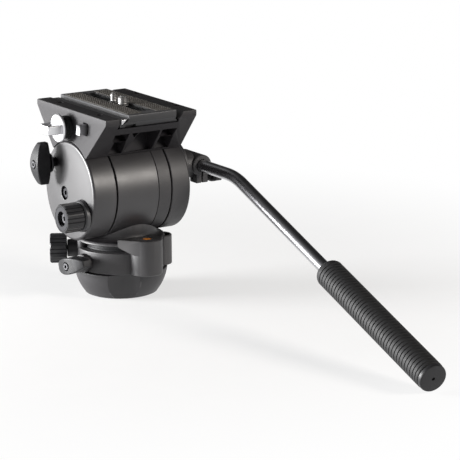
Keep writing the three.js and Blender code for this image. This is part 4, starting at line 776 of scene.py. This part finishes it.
# %% Platform
FOOT, LIP, RAIL_TOP = 38.0, 76.8, 82.5
END_FOOT, END_LEAN, END_LIP = 34, 36.7, 70.7
RAIL_SCREWS = [(x, y) for x in (-45.2, 43.1) for y in (-40, 40)]
BAYS = [
    [(-36.2, 55.6, 0.3), (-20.6, 54.4, 6), (-20.9, 63.8, 24), (-37.2, 63.8, 5)],
    [(-33.4, 40.4, 0.2), (-18.2, 40.2, 4), (-20.05, 54.1, 24), (-33.7, 55.25, 9)],
    [(-16.6, 40.4, 0.2), (16.2, 40.2, 6), (14.6, 63.6, 30), (-9.4, 63.6, 2.5)],
    [(-17.9, 63.7, 12), (-10.6, 63.7, 16), (-9.8, 55.4, 12)],
    [(17.4, 55.8, 0.3), (33.6, 54.6, 6), (33.6, 63.6, 24), (17.0, 63.6, 5)],
    [(18.6, 40.4, 0.2), (35.6, 40.2, 4), (34.2, 54.4, 24), (18.6, 55.6, 9)]]


def raised(shape):
    """Lifts a shape that was drawn from the tilt axis."""
    return moved(shape, (0, 0, AXIS_HEIGHT))


def scoop(corners, way):
    """A hollow in a leaning end: each corner is (x, z, depth under the end face)."""
    shape = bmesh.new()
    for x, z, depth in corners:
        face = END_FOOT + (z - FOOT) * END_LEAN / (LIP - FOOT)
        for reach in (90, face - depth):
            shape.verts.new((x, way * reach, AXIS_HEIGHT + z))
    bmesh.ops.convex_hull(shape, input=shape.verts)
    return clean(shape)


side = sawn([(-END_LIP, RAIL_TOP), (-END_LIP, LIP), (-END_FOOT, FOOT), (END_FOOT, FOOT), (END_LIP, LIP),
             (END_LIP, RAIL_TOP)], "X", -57.5, 52)
front = sawn([(-54.8, RAIL_TOP + 1), (-54.8, LIP), (-57.5, FOOT), (-57.5, 30), (52, 30), (52, FOOT),
              (49.3, LIP), (49.3, RAIL_TOP + 1)], "Y", -72, 72)
blank = raised(soften(worked(side, front, way="INTERSECT", solver="EXACT"), 1.4, 2, 25))
channel = sawn([(-39.6, RAIL_TOP + 1), (-38.8, RAIL_TOP - 0.9), (-38.8, 71.2), (30.3, 71.2), (30.3, 73.8),
                (28.7, 75), (33.2, RAIL_TOP - 0.9), (34.3, RAIL_TOP + 1)], "Y", -80, 80)
platform = worked(
    blank, raised(channel), shaft(DRUM + 0.3, -70, 70, steps=144), shaft(DRUM + 1.2, -31.7, 32.7, steps=144),
    *[scoop(corners, way) for way in (-1, 1) for corners in BAYS],
    shaft(3.3, -70, -30, PLATE_LOCK), shaft(2.3, -70, -30, RELEASE),
    raised(soften(block(-70, -45.8, -35.9, -25.6, 61.2, 73.8), 1.2, 2)),
    *[raised(bar(3.7, RAIL_TOP - 9, RAIL_TOP + 4, "Z", (x, y, 0))) for x, y in RAIL_SCREWS], solver="EXACT")
settle("platform_casting", eased(platform), matt, "tilt_head", "platform")

screw_head = [(0, -8.6), (2, -8.6), (2, -5.2), (3.2, -5.2), (3.4, -5), (3.4, -2.1), (3.1, -1.8), (0, -1.8)]
for number, (x, y) in enumerate(RAIL_SCREWS, 1):
    screw = worked(round_bar(screw_head), sawn(hexagon(1.9), "Z", -4, 0))
    moved(screw, on_axis(y, RAIL_TOP, x))
    settle(f"rail_screw_head_{number}", screw, oxide, "tilt_head", f"rail_screw_{number}")

# %% [markdown]
# ## The camera plate
# The plate slides in the channel. One profile gives its dovetail and another its tapered
# ends. Either could be pushed out and the rest cut away, but what both solids share is the
# plate at once, and only the slot, the pads' seats and a few notches are left to mill.

# %% Plate
PLATE_END, PLATE_TOP, PLATE_FOOT, SLOT_X = 69.6, 84.5, 71.5, -0.75


def long_hole(half, near, far, low, high):
    """A slot with round ends, this half width."""
    shape = block(SLOT_X - half, SLOT_X + half, near + half, far - half, low, high)
    ends = [bar(half, low, high, "Z", (SLOT_X, y, 0), 48, 0.01) for y in (near + half, far - half)]
    return welded(shape, *ends)


section = sawn([(-27.9, PLATE_TOP), (-27.9, 81), (-35.9, 73), (-35.9, PLATE_FOOT), (30, PLATE_FOOT), (30, 73),
                (26.4, 75.3), (26.4, PLATE_TOP)], "Y", -PLATE_END, PLATE_END)
profile = sawn([(-PLATE_END, PLATE_TOP), (-PLATE_END, 77.5), (-64.1, PLATE_FOOT), (64.1, PLATE_FOOT),
                (PLATE_END, 77.5), (PLATE_END, PLATE_TOP)], "X", -60, 60)
blank = soften(worked(section, profile, way="INTERSECT"), 0.8, 3, 25)
plate = worked(blank, long_hole(3.6, -53, 56, 70, 90), long_hole(6.6, -55.4, 58.4, 82.1, 90),
               long_hole(6.6, -55.4, 58.4, 70, 76), block(-30, -18, -75, -60.6, 70, 74.9),
               block(-26.8, -8.2, -62.8, 62.8, 83.6, 90), block(6.7, 25.3, -62.8, 62.8, 83.6, 90),
               block(-12, 14, -70.2, -69.35, 74.6, 75.1))
settle("quick_plate", raised(eased(plate, 0.2)), anodised, "plate", "camera_plate")

# %% [markdown]
# ## Pads and jaw
# The pads are knurled in small pyramids so that a camera can't creep. Two zigzags that
# cross each other give every height on a fine grid: a bump in the shader would be lighter,
# but its outline would stay flat where the pad stops. The jaw is one sawn bar.

# %% Pads and jaw
PAD_LENGTH, PAD_FOOT, PAD_FACE, KNURL, PYRAMID = 125, 83.7, 84.2, 0.55, 2.02
KNURL_X, KNURL_Y = 0.846, 0.533


def crest(value):
    """A zigzag that climbs from 0 to 1 and falls back once in every whole step."""
    return abs(2 * (value % 1) - 1)


def knurled_pad(name, x0, x1, node):
    pad = bmesh.new()
    bmesh.ops.create_grid(pad, x_segments=44, y_segments=300, size=0.5)
    for vert in pad.verts:
        inner = abs(vert.co.x) < 0.485 and abs(vert.co.y) < 0.498
        vert.co.x, vert.co.y = (x0 + x1) / 2 + vert.co.x * (x1 - x0), vert.co.y * PAD_LENGTH
        left, right = ((vert.co.x * KNURL_X + way * vert.co.y * KNURL_Y) / PYRAMID for way in (-1, 1))
        vert.co.z = PAD_FACE + inner * KNURL * (crest(left) + crest(right))
    rim = bmesh.ops.extrude_edge_only(pad, edges=[edge for edge in pad.edges if edge.is_boundary])["geom"]
    for vert in only(bmesh.types.BMVert, rim):
        vert.co.z = PAD_FOOT
    bmesh.ops.contextual_create(pad, geom=[edge for edge in pad.edges if edge.is_boundary])
    settle(name, raised(pad), pad_rubber, "plate", node, sharp=20)


knurled_pad("pad_left", -26.4, -8.6, "plate_pad_left")
knurled_pad("pad_right", 7.1, 24.9, "plate_pad_right")

jaw = sawn([(-37.2, 81.3), (-37.2, 73.7), (-36.3, 73.7), (-36.3, 74.6), (-29.6, 81.3)], "Y", -68.6, 70)
settle("jaw_bar", raised(soften(jaw, 0.3, 2, 25)), anodised, "jaw", "clamp_jaw")
tip = sawn([(-36.6, 80.9), (-36.6, 76.2), (-35.4, 76.2), (-30.6, 80.9)], "Y", -70, -68.4)
settle("jaw_tip", raised(soften(tip, 0.3, 2, 25)), aluminium, "jaw")

# %% [markdown]
# ## Camera screws
# A quarter-inch and a three-eighths screw stand in the slot. Their threads are turned as
# three shallow rings and not as a helix: at this size nobody can tell, and rings can't
# leave a loose end.

# %% Camera screws
RINGS, RING_DEPTH, FIRST_RING, SCREWDRIVER_TURN = 3, 0.14, 85.2, -58


def camera_screw(name, node, body, radius, flange, pitch, y, top):
    """A headed stud with a screwdriver slot, given by the radius of its thread."""
    points = [(0, 72.3), (5.8, 72.3), (6, 72.5), (6, 75.4), (5.8, 75.6), (3.2, 75.6), (3.2, 82.5),
              (flange - 0.3, 82.5), (flange, 82.8), (flange, 83.6), (flange - 0.5, 84.1), (radius + 0.1, 84.3)]
    for height in (FIRST_RING + pitch * step for step in range(RINGS)):
        groove = (radius - RING_DEPTH, height + pitch * 0.3)
        points += [(radius, height), groove, (radius, height + pitch * 0.6)]
    points += [(radius, top - 1.2), (radius - 0.9, top), (0, top)]
    stud = round_bar(points, centre=(SLOT_X, y, AXIS_HEIGHT), steps=64)
    slot = block(SLOT_X - radius - 1, SLOT_X + radius + 1, y - 0.7, y + 0.7, top - 1.6, top + 1)
    slot = raised(moved(slot, angle=SCREWDRIVER_TURN, about=(SLOT_X, y, 0)))
    settle(name, worked(stud, slot), stud_steel, body, node)


camera_screw("quarter_screw", "camera_screw_small", "small_screw", 3.175, 5.1, 1.27, 8, 92.2)
camera_screw("three_eighths_screw", "camera_screw_large", "large_screw", 4.76, 6.2, 1.6, -10.4, 91.6)

# %% [markdown]
# ## Controls on the left
# The lock of the plate is a polished disc with a bar across it, and beside it sits the
# release button, whose front is hollowed for a finger. Disc, bar and shaft could stay three
# pieces that touch, but they turn together, and welded they are one closed mesh that can't
# come apart at a pose.

# %% Plate lock and button
boss = [(3.3, -64.4), (10.9, -64.4), (11.5, -63.8), (11.5, -61.5), (10.7, -61.2), (10.7, -60.2),
        (11.5, -59.9), (11.5, -56.2), (3.3, -56.2)]
settle("lock_boss", lathe(boss, PLATE_LOCK), rubber, "tilt_head", "plate_lock_boss")
disc = [(0, -64.7), (13.4, -64.7), (14.4, -65.7), (14.4, -66.9), (13.4, -67.9), (0, -67.9)]
handle = sawn([(-67.5, -10.5), (-67.5, 10.5), (-80, 9.6), (-82.9, 8), (-82.9, -8), (-80, -9.6)], "Z", -4.8, 4.8)
handle = moved(soften(handle, 1.2, 3, 25), on_axis(*PLATE_LOCK))
lever = welded(lathe(disc, PLATE_LOCK, 128), handle, shaft(3, -66, -36.8, PLATE_LOCK))
settle("lock_lever", lever, silver, "plate_lock", "plate_lock_knob", sharp=40)

button = soften(block(-64.6, -50.2, -34.5, -27.5, 62.2, 72.8), 1.1, 3, 25)
finger = worked(button, bar(14, -40, 40, "Y", (-77.4, 0, 68.4), 96, 0.01))
key = welded(raised(finger), shaft(2, -52, -43.2, RELEASE))
settle("release_key", key, aluminium, "release", "release_button", sharp=40, slot="silver")

# %% [markdown]
# ## Wings
# Three wings share one outline in two sizes, so the wing is a function that is placed three
# times. Its waist is pinched, and its face is domed by keeping only what the flat wing
# shares with a curved slab, because the light on a moulded wing runs in one soft band,
# which a flat block would never show.

# %% Wings
def smooth_wing(share, stand):
    """A domed wing that points along -X, long way up, with its root this far off."""
    half, wide, tip = 21.5 * share, 8.4 * share, 3.4 * share
    outline = [(-half + 2 * half * t, (1 - t) ** 2 * -tip + 2 * t * (1 - t) * (tip - 2 * wide) + t**2 * -tip)
               for t in (step / 12 for step in range(13))]
    outline += [(-z, -y) for z, y in outline]
    lens = sawn([(y, z) for z, y in outline], "X", -15.5 * share, 0)
    crown = [((7 * t * t - 15.5) * share, t * (half + 1)) for t in (step / 8 - 1 for step in range(17))]
    dome = sawn([(5, -half - 1)] + crown + [(5, half + 1)], "Y", -20, 20)
    wing = moved(soften(worked(lens, dome, way="INTERSECT"), 1.5 * share, 3, 30), (-stand, 0, 0))
    root = -stand - 2 * share
    hub = [(0, 0), (6.9 * share, 0), (7.4 * share, -0.4 * share), (7.4 * share, root), (0, root)]
    return worked(welded(wing, round_bar(hub, "X")), bar(4.6 * share, -30, -13.5 * share - stand, "X"),
                  bar(2.6 * share + 0.3, -40, 5, "X"))


def wing_screw(length, share, stand):
    """The socket screw down the middle of a wing."""
    top = -13.5 * share - stand
    low, thin, wide = top - 2.6 * share, 2.6 * share, 3.8 * share
    head = [(0, low), (3.3 * share, low), (wide, top - 2.1 * share), (wide, top - 0.3), (thin, top - 0.3),
            (thin, length), (0, length)]
    key = sawn(hexagon(1.9 * share), "X", top - 4 * share, top - 0.6 * share)
    return worked(round_bar(head, "X", steps=48), key)


def placed(shape, vec, spin=0, turn=0):
    """Spins a control about its own shaft, turns it to face outwards and carries it there."""
    moved(shape, angle=spin, axis="X")
    return moved(moved(shape, angle=turn), vec)


def wing_and_screw(name, body, wing_node, screw_node, length, share, stand, *place):
    """A wing and the screw of this length that it turns, in place of their two CAD nodes."""
    settle(name, placed(smooth_wing(share, stand), *place), plastic, body, wing_node, sharp=40)
    settle(f"{name}_screw", placed(wing_screw(length, share, stand), *place), screw_steel, body, screw_node)


wing_and_screw("tilt_wing", "tilt_lock", "tilt_lock_wing", "tilt_lock_screw", 14, 1, 0.6,
               on_axis(*TILT_LOCK, -67))
bush = [(2.9, -66.7), (9.6, -66.7), (10.2, -66.1), (10.2, -65.3), (9.6, -64.7), (4.2, -64.6), (4.2, -64.2)]
for low in (-64, -61.7):
    bush += [(4.8, low), (4.8, low + 1.2), (4, low + 1.4), (4, low + 2.1)]
bush += [(4.8, -59.4), (4.8, -58.3), (2.9, -58.3)]
settle("tilt_bush", lathe(bush, TILT_LOCK, 72), oxide, "tilt_head", "tilt_lock_bushing")

# %% [markdown]
# ## Eight-sided knobs
# The drag knobs have eight flat sides with two fine grooves in each. They could be cut from
# a round bar groove by groove; drawing one side and repeating it eight times in the outline
# takes a single push, and meeting it with a turned blank rounds all the corners at once.

# %% Eight-sided knobs
DRAG_X, RIB, GROOVE = -64.4, 0.36, 0.9


def eight_sided(radius, length):
    """A knob with eight grooved sides that points along -X from the origin."""
    outline = []
    reach, half = at(radius, 22.5)
    run = [(-half + 0.8, 0)]
    for groove in (-RIB * half, RIB * half):
        run += [(groove - 0.75, 0), (groove - 0.35, GROOVE), (groove + 0.35, GROOVE), (groove + 0.75, 0)]
    run.append((half - 0.8, 0))
    for angle in (radians(45 * face) for face in range(8)):
        outline += [((reach - deep) * cos(angle) - along * sin(angle),
                     (reach - deep) * sin(angle) + along * cos(angle)) for along, deep in run]
    rounded = round_bar([(0, 0), (radius - 1.2, 0), (radius + 0.2, -1.4), (radius + 0.2, 1.6 - length),
                         (radius - 1.5, -length), (0, -length)], "X")
    return worked(sawn(outline, "X", -length, 0), rounded, way="INTERSECT")


drag_place = on_axis(*DRAG_KNOB, DRAG_X)
drag = worked(eight_sided(15, 19), bar(12.5, -30, -17.6, "X"), bar(7.1, -30, -13.5, "X"),
              bar(3.3, -9.5, 5, "X"))
settle("drag_knob", placed(drag, drag_place), plastic, "tilt_drag", "tilt_drag_knob", sharp=40)
dial = [(7.4, -17.6), (12.2, -17.6), (12.2, -18.8), (12, -19), (7.7, -19), (7.4, -18.7)]
settle("drag_dial", placed(round_bar(dial, "X"), drag_place), oxide, "tilt_drag", "tilt_drag_dial")
nut = [(2.2, -13.4), (5.2, -13.4), (5.2, -15.2), (4.8, -15.6), (2.6, -15.6), (2.2, -15.2)]
settle("drag_nut", placed(round_bar(nut, "X", steps=72), drag_place), screw_steel, "tilt_drag")
settle("drag_shaft", placed(bar(3, -9.2, 15.4, "X"), drag_place), steel, "tilt_drag", "tilt_drag_shaft")
drag_foot = [(3.3, -58.3), (15, -58.3), (15.8, -59), (15.8, -62.4), (15.2, -63), (14.6, -63.5), (3.3, -63.5)]
settle("drag_foot", lathe(drag_foot, DRAG_KNOB), anodised, "tilt_head", "tilt_drag_base")
cap_screw = [(0, -57.7), (4.6, -57.7), (5, -57.3), (5, -55.3), (3, -55.3), (3, -50.3), (0, -50.3)]
socket = moved(sawn(hexagon(2.4), "X", -60, -55.9), on_axis(*CAP_SCREW))
settle("cap_screw", worked(lathe(cap_screw, CAP_SCREW, 48), socket), oxide, "tilt_head", "left_cap_screw")

# %% [markdown]
# ## Controls on the collar
# The pan lock and the pan drag point out from the collar. They are the same wing and the
# same eight-sided knob as above, turned to face along their own spokes.

# %% Pan lock and pan drag
lock_place, pan_place = at(51.3, PAN_LOCK[0]) + (PAN_LOCK[1],), at(54.6, PAN_DRAG[0]) + (PAN_DRAG[1],)
wing_and_screw("pan_wing", "pan_lock", "pan_lock_wing", "pan_lock_screw", 17, 1, 3,
               lock_place, 76, PAN_LOCK[0] - 180)
pan_knob = worked(eight_sided(15.5, 17), bar(3.3, -8.5, 5, "X"), bar(9, -20, -16.2, "X"))
pan_knob = placed(pan_knob, pan_place, turn=PAN_DRAG[0] - 180)
settle("pan_knob", pan_knob, plastic, "pan_drag", "pan_drag_knob", sharp=40)
pan_shaft = placed(bar(3, -8.2, 20, "X"), pan_place, turn=PAN_DRAG[0] - 180)
settle("pan_knob_shaft", pan_shaft, steel, "pan_drag", "pan_drag_shaft")

# %% [markdown]
# ## Bar clamp
# A split sleeve holds the pan bar. It is bored after it is welded, then a saw goes down
# through one side, and the small wing pulls the split shut.

# %% Clamp
CLAMP_X, CLAMP_SCREW, CLAMP_WING = 80.0, (-23, 1.4), 0.66
rosette = lathe([(0, 57.9), (14.6, 57.9), (15, 58.3), (15, 60.5), (14.6, 60.9), (0, 60.9)], ROSETTE)
rosette = welded(rosette, shaft(4, 49.3, 71.8, ROSETTE))
settle("rosette_disc", rosette, anodised, "tilt_head", "bar_rosette")
sleeve = round_bar([(0, -30), (10.2, -30), (11, -29.2), (11, -22.3), (10.5, -22), (10.2, -21.4), (10.5, -20.9),
                    (11, -20.6), (11, 7.2), (10.2, 8), (0, 8)], "Y", on_axis(0, BAR_Z, CLAMP_X))
ear = raised(soften(block(73, 87, -29.5, -16.5, -3.5, 12), 1.0, 3, 30))
clamp = worked(
    welded(sleeve, shaft(14, 61.2, 73.7, ROSETTE, 72, 0.8), ear),
    bar(6.6, -40, 20, "Y", on_axis(0, BAR_Z, CLAMP_X), 72),
    raised(block(CLAMP_X - 0.8, CLAMP_X + 0.8, -40, -14, -10, 14)),
    shaft(2.02, 60, 100, CLAMP_SCREW), shaft(4.3, 58, 73.1, ROSETTE))
settle("clamp_sleeve", eased(clamp), paint, "bar_arm", "bar_clamp")
wing_and_screw("clamp_wing", "bar_lock", "bar_clamp_knob", "bar_clamp_screw", 16.9, CLAMP_WING, 2,
               on_axis(*CLAMP_SCREW, 90.2), 90, 180)

# %% [markdown]
# ## The bar
# The tube follows a bent line. A curve object could make it, but a flat ring that is
# pushed from point to point ends as one closed mesh with an open bore.

# %% Bar
GRIP, GRIP_RIBS, RIB_PITCH, BEND_REACH = 14, 39, 4.65, 15
bend = Vector((CLAMP_X, -92, BAR_Z))
bar_end = Vector((51.5, -462, GRIP - AXIS_HEIGHT))
bar_way = (bar_end - bend).normalized()
bend_from, bend_to = bend + Vector((0, BEND_REACH, 0)), bend + bar_way * BEND_REACH
curve = [(1 - t) ** 2 * bend_from + 2 * t * (1 - t) * bend + t**2 * bend_to
         for t in (step / 16 for step in range(17))]
line = [Vector((CLAMP_X, 7, BAR_Z))] + curve + [bar_end - bar_way * 12]


def swept(line, radius, inner, steps=48):
    """A tube along a line of points, with an open bore."""
    stations = []
    for index, point in enumerate(line):
        ahead = (line[min(index + 1, len(line) - 1)] - line[max(index - 1, 0)]).normalized()
        aside = ahead.cross(Vector((1, 0, 0))).normalized()
        turn = Matrix((aside.cross(ahead), aside, -ahead)).transposed().to_4x4()
        stations.append(Matrix.Translation(point) @ turn)
    shape = bmesh.new()
    for reach in (radius, inner):
        bmesh.ops.create_circle(shape, radius=reach, segments=steps)
    end = bmesh.ops.bridge_loops(shape, edges=shape.edges)["faces"]
    bmesh.ops.transform(shape, matrix=stations[0], verts=shape.verts)
    for here, there in zip(stations, stations[1:]):
        pushed = bmesh.ops.extrude_face_region(shape, geom=end)["geom"]
        if here is not stations[0]:
            bmesh.ops.delete(shape, geom=end, context="FACES")
        end = only(bmesh.types.BMFace, pushed)
        bmesh.ops.transform(shape, matrix=there @ here.inverted(), verts=only(bmesh.types.BMVert, pushed))
    return clean(shape)


def along_bar(shape):
    """Takes a shape turned about Z to the bar's end, so that it runs back up the bar."""
    turn = Vector((0, 0, 1)).rotation_difference(-bar_way).to_matrix()
    bmesh.ops.rotate(shape, verts=shape.verts, matrix=turn)
    return moved(shape, tuple(bar_end + Vector((0, 0, AXIS_HEIGHT))))


settle("pan_bar", raised(swept(line, 6.3, 4.9)), lacquer, "bar", "pan_bar_tube")

# %% [markdown]
# ## The grip
# The grip has 39 ribs round it. They could be placed one by one along the bar; turned
# upright in one profile and then laid along the bar, every ring stays square to the bar,
# whatever way the bar leans.

# %% Grip
ribbed = [(6.6, 4.9), (12.5, 4.9), (13.6, 5.5), (GRIP, 6.6)]
for low in (8.2 + RIB_PITCH * step for step in range(GRIP_RIBS)):
    ribbed += [(GRIP, low), (13.2, low + 0.35), (13.2, low + 0.95), (GRIP, low + 1.3)]
ribbed += [(GRIP, 190), (13.4, 191.8), (11.6, 194.2), (9.5, 195.6), (8.6, 196), (6.6, 196)]
grip = along_bar(round_bar(ribbed, steps=112))
settle("grip_sleeve", grip, rubber, "bar", "bar_grip", sharp=30)
plug = [(0, 1.6), (1.6, 1.6), (1.6, 0), (12.1, 0), (13.2, 0.5), (13.6, 1.5), (13.6, 4.2), (13.2, 4.6),
        (6.3, 4.6), (6.3, 11.7), (4.6, 11.7), (4.6, 18), (0, 18)]
settle("grip_cap", along_bar(round_bar(plug, steps=112)), plastic, "bar", "grip_end_cap")
